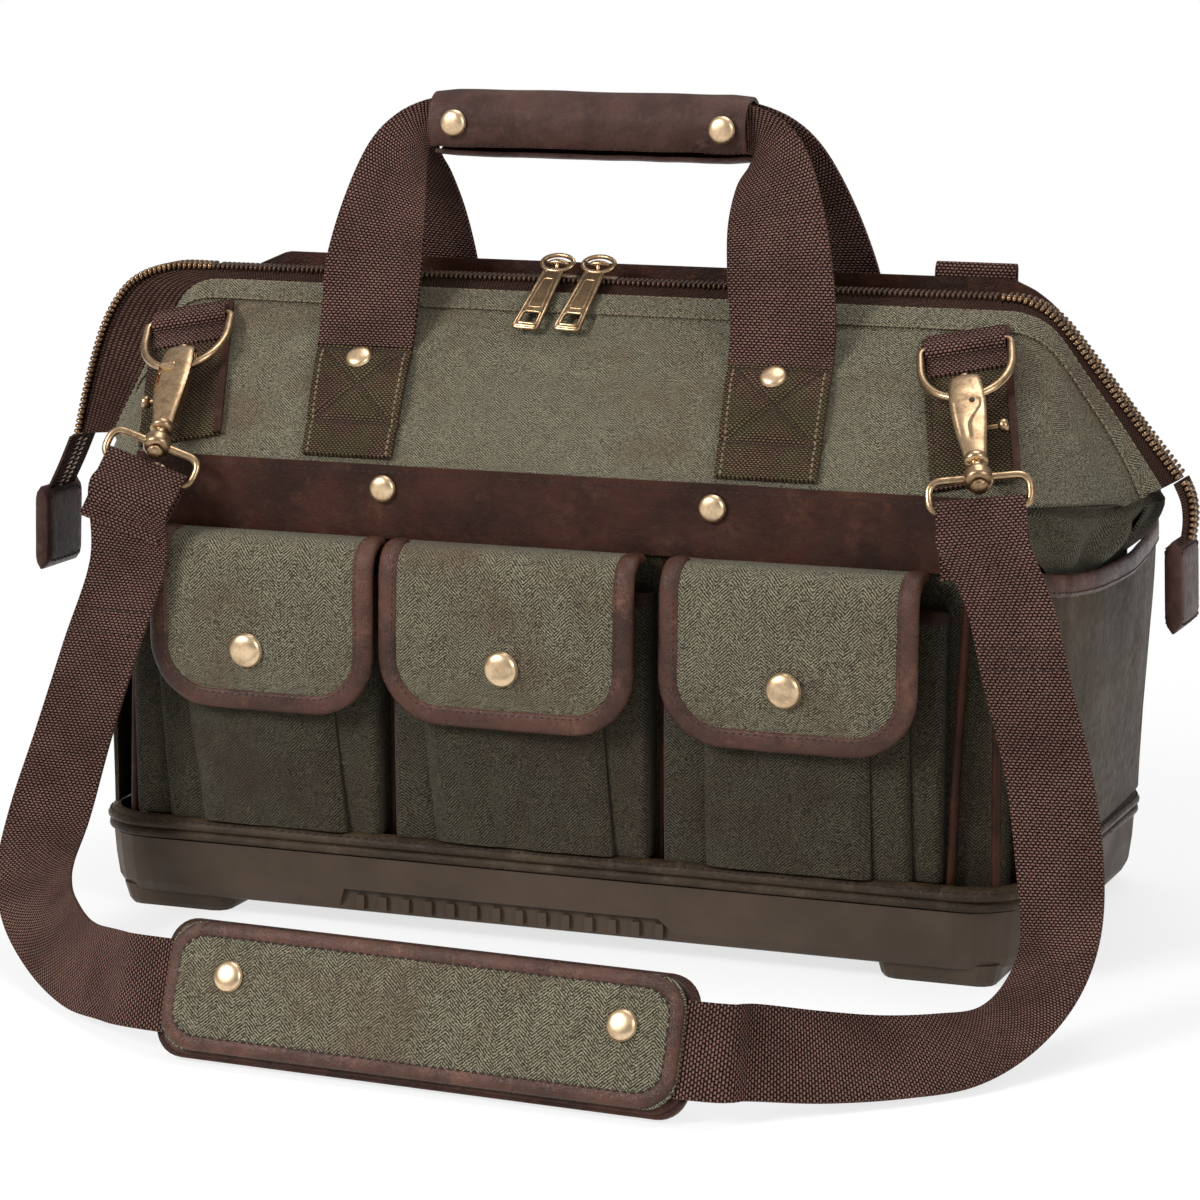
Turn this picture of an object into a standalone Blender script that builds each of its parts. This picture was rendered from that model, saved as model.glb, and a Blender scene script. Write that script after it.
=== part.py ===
"""Wide-mouth travel bag: waxed canvas on a moulded base, leather trim, webbing handles and strap.

The bag stands on the floor at z = 0 with its front towards -Y. All lengths are in metres.
"""

import math

import bmesh
import bpy
from mathutils import Matrix, Vector

# Overall sizes
TRAY_HALF = (0.2255, 0.1185)
TRAY_CORNER = 0.029
TRAY_WALL = 0.0045
TRAY_TOP = 0.0350
TRAY_FLOOR = 0.0110
FOOT_HEIGHT = 0.0072
WELT_TOP = 0.0460
# How far the shell stands inside the tray's outline: at the ends, at the front and at the back
SHELL_INSET = (0.0055, 0.0145, 0.0065)
SIDE_X = TRAY_HALF[0] - SHELL_INSET[0]
FRONT_Y = SHELL_INSET[1] - TRAY_HALF[1]
BACK_Y = TRAY_HALF[1] - SHELL_INSET[2]
SHELL_CORNER = 0.026
CREASE_Z = 0.2130
CANVAS = 0.0022
LIP = 0.0016
GUSSET = 0.0018
HEM_Y = 0.0130
HEM_Z = 0.2860
ZIP_Y = 0.0022
ZIP_Z = 0.2925
MOUTH_LEAN = -0.008

# Trim
BAND_Z = (0.1830, 0.2165)
BAND_HALF = 0.2040
POCKETS = (
    ("left", 0.0150 - SIDE_X, -0.0780),
    ("middle", -0.0705, 0.0530),
    ("right", 0.0605, SIDE_X - 0.0310),
)
POCKET_FRONT = 0.0190
POCKET_TOP = 0.1660
# Each flap: its middle, half its width, and how far its snap stands from its middle
FLAPS = (
    ("left", -0.1312, 0.0560, -0.0058),
    ("middle", -0.0107, 0.0615, 0.0),
    ("right", 0.1225, 0.0595, 0.0),
)
FLAP_START = (FRONT_Y - 0.0036, 0.1820)
FLAP_HINGE = (FRONT_Y - 0.0036, 0.1836)
FLAP_LINE = (
    FLAP_START,
    (FRONT_Y - 0.0100, 0.1821),
    (FRONT_Y - 0.0175, 0.1820),
    (FRONT_Y - 0.0250, 0.1752),
    (FRONT_Y - 0.0265, 0.1530),
    (FRONT_Y - 0.0270, 0.1285),
    (FRONT_Y - 0.0240, 0.1028),
)
FLAP_CORNER = 0.0300
FLAP_BINDING = 0.0064
FLAP_TAPER = 0.25
# How far down its line each row of a flap's upper part lies, close together over the bend
FLAP_ROWS = (0.0, 0.0070, 0.0110, 0.0140, 0.0170, 0.0200, 0.0235, 0.0290, 0.0430)
SNAP_Z = 0.1312
SNAP_R = 0.0082
RIVET_R = 0.0064
BAND_RIVETS = (-0.1935, -0.0787, 0.0805, 0.1969)
BAND_RIVET_Z = 0.2056

# Handles, rings, hooks and strap
WEB = 0.0022
GRIP_X = (-0.0960, 0.0615)
GRIP_Z = 0.3650
GRIP_R = (0.0135, 0.0160)
# Inside the wrap each handle's webbing stands this far from the middle, and half as high
GRIP_WEB = (0.0052, 0.0113)
# Each ring's bar: x along the panel and s up it; what hangs there leans towards +X on its way down
RING_BAR = {"left": (0.0120 - SIDE_X, 0.0852), "right": (SIDE_X - 0.0450, 0.0905)}
RING_LEAN = math.radians(16.0)
RING_WIRE = 0.0017
RING_HALF = 0.0205
RING_DEEP = 0.0400
RING_OFF = (0.0048, 0.0114)
HOOK_LEAN = {"left": math.radians(11.0), "right": math.radians(19.0)}
HOOK_TIP_OUT = 0.08
SWIVEL_AT = 0.0545
LOOP_WIRE = 0.0016
LOOP_HALF = (0.0220, 0.0070)
LOOP_TILT = {"left": math.radians(-27.0), "right": math.radians(-5.5)}
STRAP_WIDTH = 0.0390
STRAP = 0.0024

# The gap left between pieces that touch, and the shift that centres the bag's own box over the origin
GAP = 0.0003
FRAME_SHIFT = (0.0180, 0.0080, 0.0)

MATERIALS = {
    "canvas": (0.115, 0.120, 0.085, 0.85, 0.0),
    "leather": (0.085, 0.035, 0.025, 0.55, 0.0),
    "webbing": (0.070, 0.040, 0.032, 0.90, 0.0),
    "brass": (0.420, 0.310, 0.160, 0.35, 1.0),
    "rubber": (0.080, 0.065, 0.050, 0.60, 0.0),
    "zip": (0.060, 0.035, 0.028, 0.70, 0.0),
    "steel": (0.450, 0.450, 0.460, 0.40, 1.0),
    "board": (0.100, 0.085, 0.065, 0.80, 0.0),
}


def clear_scene():
    for old in list(bpy.data.objects):
        bpy.data.objects.remove(old, do_unlink=True)


def material_for(name, kind):
    red, green, blue, rough, metal = MATERIALS[kind]
    made = bpy.data.materials.new(name + "_material")
    made.use_nodes = True
    shader = made.node_tree.nodes["Principled BSDF"]
    shader.inputs["Base Color"].default_value = (red, green, blue, 1.0)
    shader.inputs["Roughness"].default_value = rough
    shader.inputs["Metallic"].default_value = metal
    return made


def solid(name, verts, faces, kind=None, origin=(0.0, 0.0, 0.0)):
    """One mesh object with outward faces; its origin is put where the piece turns."""
    at = Vector(origin)
    mesh = bpy.data.meshes.new(name)
    mesh.from_pydata([tuple(Vector(v) - at) for v in verts], [], faces)
    work = bmesh.new()
    work.from_mesh(mesh)
    bmesh.ops.recalc_face_normals(work, faces=work.faces)
    if work.calc_volume(signed=True) < 0:
        bmesh.ops.reverse_faces(work, faces=work.faces)
    work.to_mesh(mesh)
    work.free()
    made = bpy.data.objects.new(name, mesh)
    made.location = at
    bpy.context.scene.collection.objects.link(made)
    if kind:
        mesh.materials.append(material_for(name, kind))
    return made


def combine(base, others, operation):
    """The base with the others joined to it or cut from it, as one evaluated mesh."""
    for number, other in enumerate(others):
        step = base.modifiers.new("Join%d" % number, "BOOLEAN")
        step.operation = operation
        step.solver = "EXACT"
        step.object = other
    bpy.context.view_layer.update()
    graph = bpy.context.evaluated_depsgraph_get()
    mesh = bpy.data.meshes.new_from_object(base.evaluated_get(graph))
    base.modifiers.clear()
    base.data = mesh
    for other in others:
        bpy.data.objects.remove(other, do_unlink=True)
    work = bmesh.new()
    work.from_mesh(mesh)
    bmesh.ops.remove_doubles(work, verts=work.verts, dist=0.000004)
    bmesh.ops.dissolve_degenerate(work, edges=work.edges, dist=0.000002)
    work.to_mesh(mesh)
    work.free()
    return base


def fuse(base, *others):
    return combine(base, others, "UNION")


def cut(base, *others):
    return combine(base, others, "DIFFERENCE")


def loft(name, rings, kind=None, loop=False, origin=(0.0, 0.0, 0.0)):
    """A skin over rings of equal length, capped at both ends unless the rings close on themselves."""
    count = len(rings[0])
    verts = [point for ring in rings for point in ring]
    faces = []
    spans = len(rings) if loop else len(rings) - 1
    for i in range(spans):
        a = i * count
        b = (i + 1) % len(rings) * count
        for k in range(count):
            m = (k + 1) % count
            faces.append((a + k, a + m, b + m, b + k))
    if not loop:
        last = (len(rings) - 1) * count
        faces.append(tuple(range(count)))
        faces.append(tuple(last + k for k in range(count)))
    return solid(name, verts, faces, kind, origin)


def rounded(half_x, half_y, radius, z, centre=(0.0, 0.0), steps=5):
    """A rounded rectangle at height z."""
    points = []
    for sx, sy, start in ((1, 1, 0.0), (-1, 1, 90.0), (-1, -1, 180.0), (1, -1, 270.0)):
        for k in range(steps + 1):
            angle = math.radians(start + 90.0 * k / steps)
            x = centre[0] + sx * (half_x - radius) + radius * math.cos(angle)
            y = centre[1] + sy * (half_y - radius) + radius * math.sin(angle)
            points.append((x, y, z))
    return points


def block(name, low, high, kind=None, origin=(0.0, 0.0, 0.0)):
    (x0, y0, z0), (x1, y1, z1) = low, high
    lower = [(x0, y0, z0), (x1, y0, z0), (x1, y1, z0), (x0, y1, z0)]
    upper = [(x, y, z1) for x, y, _ in lower]
    return loft(name, [lower, upper], kind, origin=origin)


def section_frames(path, closed=False, up=(0.0, 0.0, 1.0)):
    """For each path point: the point, and two axes across the path that turn as little as possible."""
    points = [Vector(p) for p in path]
    count = len(points)
    frames = []
    side = None
    for i, point in enumerate(points):
        ahead = points[(i + 1) % count] if closed or i < count - 1 else point
        behind = points[i - 1] if closed or i > 0 else point
        along = (ahead - behind).normalized()
        if side is None:
            side = Vector(up).cross(along)
            if side.length < 0.05:
                side = Vector((1.0, 0.0, 0.0)).cross(along)
        side = (side - along * side.dot(along)).normalized()
        frames.append((point, side.copy(), along.cross(side)))
    return frames


def tube(name, path, radius, kind=None, closed=False, sides=8, origin=(0.0, 0.0, 0.0)):
    """A round wire along a path; radius may be one number or one for each point."""
    frames = section_frames(path, closed)
    rings = []
    for i, (point, u, v) in enumerate(frames):
        r = radius[i] if isinstance(radius, (list, tuple)) else radius
        turn = [math.tau * k / sides for k in range(sides)]
        rings.append([point + u * (r * math.cos(a)) + v * (r * math.sin(a)) for a in turn])
    return loft(name, rings, kind, loop=closed, origin=origin)


def turned(name, profile, at, axis, kind=None, sides=16, origin=None):
    """A round piece: the profile holds (radius, height along the axis) from one end to the other."""
    axis = Vector(axis).normalized()
    u = axis.orthogonal().normalized()
    v = axis.cross(u)
    at = Vector(at)
    rings = []
    for radius, height in profile:
        turn = [math.tau * k / sides for k in range(sides)]
        rings.append(
            [at + axis * height + (u * math.cos(a) + v * math.sin(a)) * radius for a in turn]
        )
    return loft(name, rings, kind, origin=at if origin is None else origin)


def dome(name, radius, height, at, axis, kind="brass", shank=0.0, sides=16, origin=None):
    """A dome rivet or snap cap: a flat back, a small rim and a round top."""
    profile = [(radius * 0.45, -shank), (radius * 0.45, 0.0)] if shank else []
    profile += [(radius, 0.0), (radius, height * 0.25), (radius * 0.93, height * 0.55)]
    profile += [(radius * 0.72, height * 0.82), (radius * 0.40, height * 0.96), (radius * 0.12, height)]
    return turned(name, profile, at, axis, kind, sides, origin)


def slab(name, grid, thickness, kind=None, origin=(0.0, 0.0, 0.0)):
    """A sheet of the given thickness on a grid of points; thickness may be a function of (row, column).

    The grid points lie on the middle of the sheet. Rows and columns are both open.
    """
    rows = len(grid)
    columns = len(grid[0])
    points = [[Vector(p) for p in row] for row in grid]
    top = []
    bottom = []
    for i in range(rows):
        for k in range(columns):
            along = points[min(i + 1, rows - 1)][k] - points[max(i - 1, 0)][k]
            across = points[i][min(k + 1, columns - 1)] - points[i][max(k - 1, 0)]
            normal = across.cross(along).normalized()
            t = thickness(i, k) if callable(thickness) else thickness
            top.append(points[i][k] + normal * (t / 2))
            bottom.append(points[i][k] - normal * (t / 2))
    verts = top + bottom
    size = rows * columns
    faces = []
    for i in range(rows - 1):
        for k in range(columns - 1):
            a = i * columns + k
            faces.append((a, a + 1, a + columns + 1, a + columns))
            faces.append((size + a, size + a + columns, size + a + columns + 1, size + a + 1))
    edge = [k for k in range(columns)]
    edge += [i * columns + columns - 1 for i in range(1, rows)]
    edge += [(rows - 1) * columns + k for k in range(columns - 2, -1, -1)]
    edge += [i * columns for i in range(rows - 2, 0, -1)]
    for a, b in zip(edge, edge[1:] + edge[:1]):
        faces.append((a, b, size + b, size + a))
    return solid(name, verts, faces, kind, origin)


def blend(a, b, t):
    return a + (b - a) * t


def along_points(points, count):
    """The polyline resampled to a number of points, evenly by length."""
    points = [Vector(p) for p in points]
    lengths = [0.0]
    for a, b in zip(points, points[1:]):
        lengths.append(lengths[-1] + (b - a).length)
    found = []
    for n in range(count):
        want = lengths[-1] * n / (count - 1)
        i = max(k for k in range(len(points) - 1) if lengths[k] <= want + 1e-9)
        span = lengths[i + 1] - lengths[i]
        found.append(blend(points[i], points[i + 1], min(1.0, (want - lengths[i]) / span)))
    return found


def smooth_points(points, rounds=2):
    """Corner cutting that keeps both ends."""
    points = [Vector(p) for p in points]
    for _ in range(rounds):
        made = [points[0]]
        for a, b in zip(points, points[1:]):
            made += [blend(a, b, 0.25), blend(a, b, 0.75)]
        points = made + [points[-1]]
    return points


def ribbon(name, left, right, thickness, kind=None, origin=(0.0, 0.0, 0.0), columns=2):
    """Webbing between two edge lines of equal length."""
    grid = []
    for a, b in zip(left, right):
        row = []
        for k in range(columns):
            t = k / (columns - 1)
            row.append(blend(Vector(a), Vector(b), t))
        grid.append(row)
    return slab(name, grid, thickness, kind, origin)


# The front upper panel as a slope: s runs up it from the crease, n is the height off it.
SLOPE_Y = -FRONT_Y - HEM_Y
SLOPE_Z = HEM_Z - CREASE_Z
SLOPE = math.hypot(SLOPE_Y, SLOPE_Z)
UP = Vector((0.0, SLOPE_Y / SLOPE, SLOPE_Z / SLOPE))
OUT = Vector((0.0, -UP.z, UP.y))


def on_panel(x, s, n, back=False):
    """A point on the front panel's slope, or on the back panel's when back is set."""
    point = Vector((x, FRONT_Y, CREASE_Z)) + UP * s + OUT * (n + CANVAS / 2)
    if back:
        # the back panel leans the same way from its own crease
        reach = (BACK_Y - HEM_Y) / (-FRONT_Y - HEM_Y)
        y = HEM_Y + (-point.y - HEM_Y) * reach
        return Vector((point.x, y, point.z))
    return point


def lean(z):
    return MOUTH_LEAN * max(0.0, min(1.0, (z - CREASE_Z) / (HEM_Z - CREASE_Z)))


# Base
def build_base():
    hx, hy = TRAY_HALF
    r = TRAY_CORNER
    w = TRAY_WALL
    rings = [
        rounded(hx - 0.0085, hy - 0.0085, r - 0.0060, FOOT_HEIGHT),
        rounded(hx - 0.0045, hy - 0.0045, r - 0.0030, FOOT_HEIGHT + 0.0014),
        rounded(hx - 0.0020, hy - 0.0020, r - 0.0010, FOOT_HEIGHT + 0.0060),
        rounded(hx - 0.0006, hy - 0.0006, r, 0.0240),
        rounded(hx, hy, r, TRAY_TOP),
        rounded(hx - w, hy - w, r - w, TRAY_TOP),
        rounded(hx - w - 0.0010, hy - w - 0.0010, r - w, 0.0160),
        rounded(hx - w - 0.0040, hy - w - 0.0040, r - w - 0.0030, TRAY_FLOOR),
    ]
    tray = loft("base_tray", rings, "rubber")
    feet = []
    for sx in (-1, 1):
        for sy in (-1, 1):
            centre = (sx * (hx - 0.0390), sy * (hy - 0.0290))
            feet.append(
                loft(
                    "foot",
                    [
                        rounded(0.0255, 0.0195, 0.0070, 0.0, centre, 3),
                        rounded(0.0270, 0.0210, 0.0080, 0.0022, centre, 3),
                        rounded(0.0290, 0.0230, 0.0090, FOOT_HEIGHT + 0.0030, centre, 3),
                    ],
                )
            )
    fuse(tray, *feet)
    # the recess is a shallow trapezoid in the lower front face, filled by a row of ribs
    y0, y1 = -hy - 0.0100, -hy + 0.0038
    outline = [(-0.1020, 0.0), (0.0720, 0.0), (0.0720, 0.0070), (0.0590, 0.0190), (-0.0960, 0.0190)]
    outline.append((-0.1000, 0.0070))
    cut(
        tray,
        loft("recess", [[(x, y, z) for x, z in outline] for y in (y0, y1)]),
    )
    ribs = []
    for n in range(14):
        x = -0.0880 + 0.1470 * n / 13
        low, high = (x - 0.0019, -hy + 0.0018, 0.0098), (x + 0.0019, y1 + 0.0008, 0.0165)
        ribs.append(block("rib", low, high))
    fuse(tray, *ribs)

    # the welt covers the tray's rim, with two beads, and an upright piping at each front corner
    x0, y0 = hx + 0.0015, hy + 0.0015
    inner_x, inner_y = SIDE_X + GAP, hy - 0.0040
    rings = [
        rounded(x0 - 0.0018, y0 - 0.0018, r, TRAY_TOP + GAP),
        rounded(x0, y0, r, TRAY_TOP + 0.0022),
        rounded(x0, y0, r, TRAY_TOP + 0.0042),
        rounded(x0 - 0.0013, y0 - 0.0013, r, TRAY_TOP + 0.0053),
        rounded(x0, y0, r, TRAY_TOP + 0.0066),
        rounded(x0 - 0.0002, y0 - 0.0002, r, TRAY_TOP + 0.0092),
        rounded(x0 - 0.0022, y0 - 0.0022, r, WELT_TOP),
        rounded(inner_x, inner_y, r - 0.0050, WELT_TOP),
        rounded(inner_x, inner_y, r - 0.0050, TRAY_TOP + GAP),
    ]
    welt = loft("base_welt", rings, "leather", loop=True)
    uprights = []
    for sx in (-1, 1):
        foot = (sx * (hx - 0.0125), 0.0025 - hy, WELT_TOP - 0.0040)
        line = [(foot[0], foot[1], z) for z in (foot[2], 0.1150, BAND_Z[0] - 0.0020)]
        uprights.append(tube("piping", line, 0.0023))
    fuse(welt, *uprights)
    z = TRAY_FLOOR + 2 * GAP + CANVAS
    centre = (0.0, (FRONT_Y + BACK_Y) / 2)
    half_y = (BACK_Y - FRONT_Y) / 2 - 0.0110
    board = [rounded(SIDE_X - 0.0120, half_y, 0.0180, level, centre) for level in (z, z + 0.0030)]
    loft("base_board", board, "board")


def build_shell():
    centre = (0.0, (FRONT_Y + BACK_Y) / 2)
    half_y = (BACK_Y - FRONT_Y) / 2
    levels = (TRAY_FLOOR + GAP + 0.0060, 0.0400, 0.0900, 0.1500, CREASE_Z - 0.0015)
    bottom = TRAY_FLOOR + GAP
    r = SHELL_CORNER
    rings = [rounded(SIDE_X - 0.0060, half_y - 0.0060, r - 0.0040, bottom, centre)]
    rings += [rounded(SIDE_X - (0.0 if z > 0.03 else 0.0012), half_y, r, z, centre) for z in levels]
    for z in reversed(levels):
        rings.append(rounded(SIDE_X - CANVAS, half_y - CANVAS, r - CANVAS, z, centre))
    rings.append(rounded(SIDE_X - 0.0075, half_y - 0.0075, r - 0.0060, bottom + CANVAS, centre))
    loft("body_shell", rings, "canvas")


def build_end_pockets():
    """A leathery panel over each end, open at the top, with a thicker rim."""
    for side, sx in (("left", -1), ("right", 1)):
        rows = []
        heights = (0.0, 0.12, 0.35, 0.62, 0.86, 0.90, 0.91, 1.0)
        for t in heights:
            row = []
            for k in range(15):
                u = -1.0 + 2.0 * k / 14
                # the panel wraps the corners, so its ends lie against the body's side
                angle = u * math.radians(78.0)
                wrap = math.sin(angle) / math.sin(math.radians(78.0))
                y = 0.0050 + (BACK_Y - 0.0080) * wrap
                least = math.cos(math.radians(78.0))
                bulge = (math.cos(angle) - least) / (1 - least)
                out = (0.0030 + 0.0145 * math.sin(t * math.pi / 2)) * bulge ** 0.75
                top = 0.1840 - 0.0090 * bulge
                z = WELT_TOP + GAP + (top - WELT_TOP - GAP) * t
                row.append((sx * (SIDE_X + 0.0022 + out), y, z))
            rows.append(row)

        def thick(i, k):
            return 0.0018 if i < 6 else 0.0034

        slab("side_pocket_" + side, rows, thick, "leather")


# Front: band, pockets, flaps
def build_band():
    y = FRONT_Y - 0.0011
    low, high = BAND_Z
    xs = [-BAND_HALF + 2 * BAND_HALF * k / 16 for k in range(17)]
    grid = [[(x, y - 0.0011, z) for x in xs] for z in (low, low + 0.0025, high - 0.0025, high)]
    slab("band_front", grid, 0.0020, "leather")
    for n, x in enumerate(BAND_RIVETS):
        at = (x, y - 0.0022 - GAP, BAND_RIVET_Z)
        dome("band_rivet_%d" % (n + 1), RIVET_R, 0.0032, at, (0, -1, 0))


def build_pockets():
    back = FRONT_Y - GAP
    front = back - POCKET_FRONT + 0.0050
    for name, x0, x1 in POCKETS:
        mid = (x0 + x1) / 2
        half = (x1 - x0) / 2
        wall = 0.0018

        def ring(z, grow, depth):
            """The pocket's line at one height: round the sides and the front, then back inside."""
            outer = []
            inner = []
            for k in range(13):
                u = -1.0 + 2.0 * k / 12
                bow = depth * (1.0 - abs(u) ** 3.0)
                outer.append((mid + half * u * grow, front - bow, z))
                inner.append((mid + (half - wall) * u * grow, front - bow + wall, z))
            outer = [(mid - half * grow, back, z)] + outer + [(mid + half * grow, back, z)]
            room = (half - wall) * grow
            inner = [(mid - room, back, z)] + inner + [(mid + room, back, z)]
            return outer + inner[::-1]

        base = WELT_TOP + GAP
        rings = [
            ring(base + 0.0016, 0.985, 0.0030),
            ring(base + 0.0300, 0.990, 0.0050),
            ring(0.1150, 1.0, 0.0060),
            ring(POCKET_TOP - 0.0100, 1.0, 0.0045),
            ring(POCKET_TOP, 1.0, 0.0035),
        ]
        pocket = loft("pocket_" + name, rings, "canvas")
        floor = []
        for z in (base, base + 0.0022):
            line = []
            for k in range(13):
                u = -1.0 + k / 6.0
                line.append((mid + half * 0.985 * u, front - 0.0030 * (1 - abs(u) ** 3.0), z))
            floor.append([(mid - half * 0.985, back, z)] + line + [(mid + half * 0.985, back, z)])
        fuse(pocket, loft("pocket_floor", floor))
        stud_x = [flap_mid + off for flap, flap_mid, _, off in FLAPS if flap == name][0]
        stud = turned(
            "stud",
            [(0.0050, -0.0006), (0.0050, 0.0012), (0.0028, 0.0016), (0.0030, 0.0028), (0.0020, 0.0034)],
            (stud_x, front - 0.0058, SNAP_Z),
            (0, -1, 0),
            sides=10,
        )
        fuse(pocket, stud)


def flap_edge(half, length):
    """Points down a flap's left side and round its lower corner, inside the binding.

    Each is (across, down) and the way out from it to the flap's edge.
    """
    low = length - FLAP_CORNER
    turn = FLAP_CORNER - FLAP_BINDING
    points = [(FLAP_BINDING - half, d, -1.0, 0.0) for d in FLAP_ROWS]
    for k in range(5):
        a = math.radians(90.0 * k / 4)
        out_x, out_d = -math.cos(a), math.sin(a)
        points.append((FLAP_CORNER - half + turn * out_x, low + turn * out_d, out_x, out_d))
    return points


def flap_profile():
    """The flap's line from its hinge over the pocket's mouth and down, at even steps."""
    return along_points(smooth_points([(0.0, y, z) for y, z in FLAP_LINE], 3), 61)


def flap_point(line, mid, x, d, length):
    """Where a point of the flap lies, d down its line and x across; its edges bow back a little."""
    t = max(0.0, min(1.0, d / length)) * (len(line) - 1)
    i = min(int(t), len(line) - 2)
    point = blend(line[i], line[i + 1], t - i)
    bow = 0.0040 * abs(x / 0.065) ** 3.0 * min(1.0, d / length * 2.0)
    return Vector((mid + x, point.y + bow, point.z))


def flap_surface(line, mid, x, d, length):
    """The flap's point and the way it faces there."""
    step = 0.001
    along = flap_point(line, mid, x, d + step, length) - flap_point(line, mid, x, d - step, length)
    across = flap_point(line, mid, x + step, d, length) - flap_point(line, mid, x - step, d, length)
    return flap_point(line, mid, x, d, length), along.cross(across).normalized()


def build_flaps():
    """Each flap is a grid of cloth with loops of thicker binding round its sides and its lower edge."""
    line = flap_profile()
    length = sum((b - a).length for a, b in zip(line, line[1:]))
    columns = 7
    for name, mid, half, snap_off in FLAPS:
        edge = flap_edge(half, length)
        spots = []
        for x, d, _, _ in edge:
            spots += [(x * (1 - 2 * k / (columns - 1)), d, CANVAS) for k in range(columns)]
        lowest = (len(edge) - 1) * columns
        border = [n * columns for n in range(len(edge))]
        border += [lowest + k for k in range(1, columns - 1)]
        border += [n * columns + columns - 1 for n in reversed(range(len(edge)))]
        left_ways = [(out_x, out_d) for _, _, out_x, out_d in edge]
        right_ways = [(-out_x, out_d) for out_x, out_d in reversed(left_ways)]
        ways = left_ways + [(0.0, 1.0)] * (columns - 2) + right_ways
        loops = [border]
        for out, thick in ((0.0012, 0.0052), (FLAP_BINDING - 0.0008, 0.0052), (FLAP_BINDING, 0.0030)):
            loop = []
            for n, (out_x, out_d) in zip(border, ways):
                x, d, _ = spots[n]
                loop.append(len(spots))
                spots.append((x + out_x * out, d + out_d * out, thick))
            loops.append(loop)
        top = []
        bottom = []
        for x, d, thick in spots:
            # the binding thins towards the hinge, so that the flap turns clear of the band
            thick = min(thick, CANVAS + FLAP_TAPER * d)
            p, normal = flap_surface(line, mid, x, d, length)
            top.append(p + normal * (thick / 2))
            bottom.append(p - normal * (thick / 2))
        cells = []
        for i in range(len(edge) - 1):
            for k in range(columns - 1):
                a = i * columns + k
                cells.append((a, a + 1, a + columns + 1, a + columns))
        for inner, outer in zip(loops, loops[1:]):
            for a, b, c, d in zip(inner, inner[1:], outer[1:], outer):
                cells.append((a, b, c, d))
        size = len(top)
        faces = cells + [tuple(size + n for n in reversed(cell)) for cell in cells]
        across = [loop[0] for loop in reversed(loops)] + list(range(1, columns - 1))
        across += [loop[-1] for loop in loops]
        rim = loops[-1]
        for row in (across, rim):
            faces += [(a, b, size + b, size + a) for a, b in zip(row, row[1:])]
        hinge = (mid, FLAP_HINGE[0], FLAP_HINGE[1])
        solid("flap_" + name, top + bottom, faces, "canvas", hinge)
        down = length * min(range(61), key=lambda n: abs(line[n].z - SNAP_Z)) / 60
        spot, facing = flap_surface(line, mid, snap_off, down, length)
        at = spot + facing * (CANVAS / 2 + GAP)
        dome("flap_snap_" + name, SNAP_R, 0.0042, at, facing, origin=hinge)


# Mouth: upper panels, wire frames, zip
PANEL_FOOT = (
    (SIDE_X - 0.0250, FRONT_Y, CREASE_Z),
    (SIDE_X - 0.0120, FRONT_Y + 0.0015, CREASE_Z),
    (SIDE_X + 0.0010, FRONT_Y + 0.0110, 0.2125),
    (SIDE_X + 0.0120, FRONT_Y + 0.0280, 0.2110),
    (SIDE_X + 0.0210, FRONT_Y + 0.0490, 0.2090),
    (SIDE_X + 0.0280, FRONT_Y + 0.0700, 0.2060),
)
PANEL_HEM = (
    (SIDE_X - 0.0300, -HEM_Y, HEM_Z),
    (SIDE_X - 0.0160, -HEM_Y, 0.2850),
    (SIDE_X - 0.0050, -HEM_Y, 0.2790),
    (SIDE_X + 0.0070, -0.0140, 0.2620),
    (SIDE_X + 0.0220, -0.0160, 0.2400),
    (SIDE_X + 0.0400, -0.0180, 0.2110),
)
ZIP_RIGHT = (
    (SIDE_X - 0.0300, ZIP_Z),
    (SIDE_X - 0.0160, 0.2905),
    (SIDE_X - 0.0040, 0.2830),
    (SIDE_X + 0.0090, 0.2660),
    (SIDE_X + 0.0250, 0.2430),
    (SIDE_X + 0.0460, 0.2140),
)
ZIP_LEFT = (
    (SIDE_X - 0.0140, ZIP_Z),
    (SIDE_X + 0.0100, 0.2915),
    (SIDE_X + 0.0300, 0.2830),
    (SIDE_X + 0.0460, 0.2640),
    (SIDE_X + 0.0590, 0.2360),
    (SIDE_X + 0.0690, 0.2070),
)
# Each end of the zip beyond the mouth: points down to its leather tab, and the tab's middle
TAIL_LEFT = ((-SIDE_X - 0.0755, 0.1925), (-SIDE_X - 0.0820, 0.1800), (-SIDE_X - 0.0830, 0.1600))
TAIL_RIGHT = (
    (SIDE_X + 0.0495, 0.2050),
    (SIDE_X + 0.0505, 0.1960),
    (SIDE_X + 0.0495, 0.1860),
    (SIDE_X + 0.0465, 0.1660),
)


def whole_line(right, left=None, straight=9):
    """A line from the left end over the straight middle to the right end, leaning with the mouth."""
    left = left or right
    middle = []
    for k in range(1, straight + 1):
        t = k / (straight + 1)
        y = right[0][1]
        middle.append((blend(-left[0][0], right[0][0], t), y, right[0][2]))
    line = [(-x, y, z) for x, y, z in reversed(left)] + middle + list(right)
    return [Vector((x + lean(z), y, z)) for x, y, z in line]


def backwards(line):
    """The same line for the back panel, whose crease lies further from the middle than the front's."""
    reach = (BACK_Y - HEM_Y) / (-FRONT_Y - HEM_Y)
    made = []
    for p in line:
        y = -p.y
        if y > HEM_Y:
            y = HEM_Y + (y - HEM_Y) * reach
        made.append(Vector((p.x, y, p.z)))
    return made


def zip_line(y):
    """The teeth's line; round the ends the two halves stand a little further apart."""
    apart = [y] + [y * 1.4] * (len(ZIP_RIGHT) - 1)
    right = [(x, step, z) for (x, z), step in zip(ZIP_RIGHT, apart)]
    left = [(x, step, z) for (x, z), step in zip(ZIP_LEFT, apart)]
    return whole_line(right, left)


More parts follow.
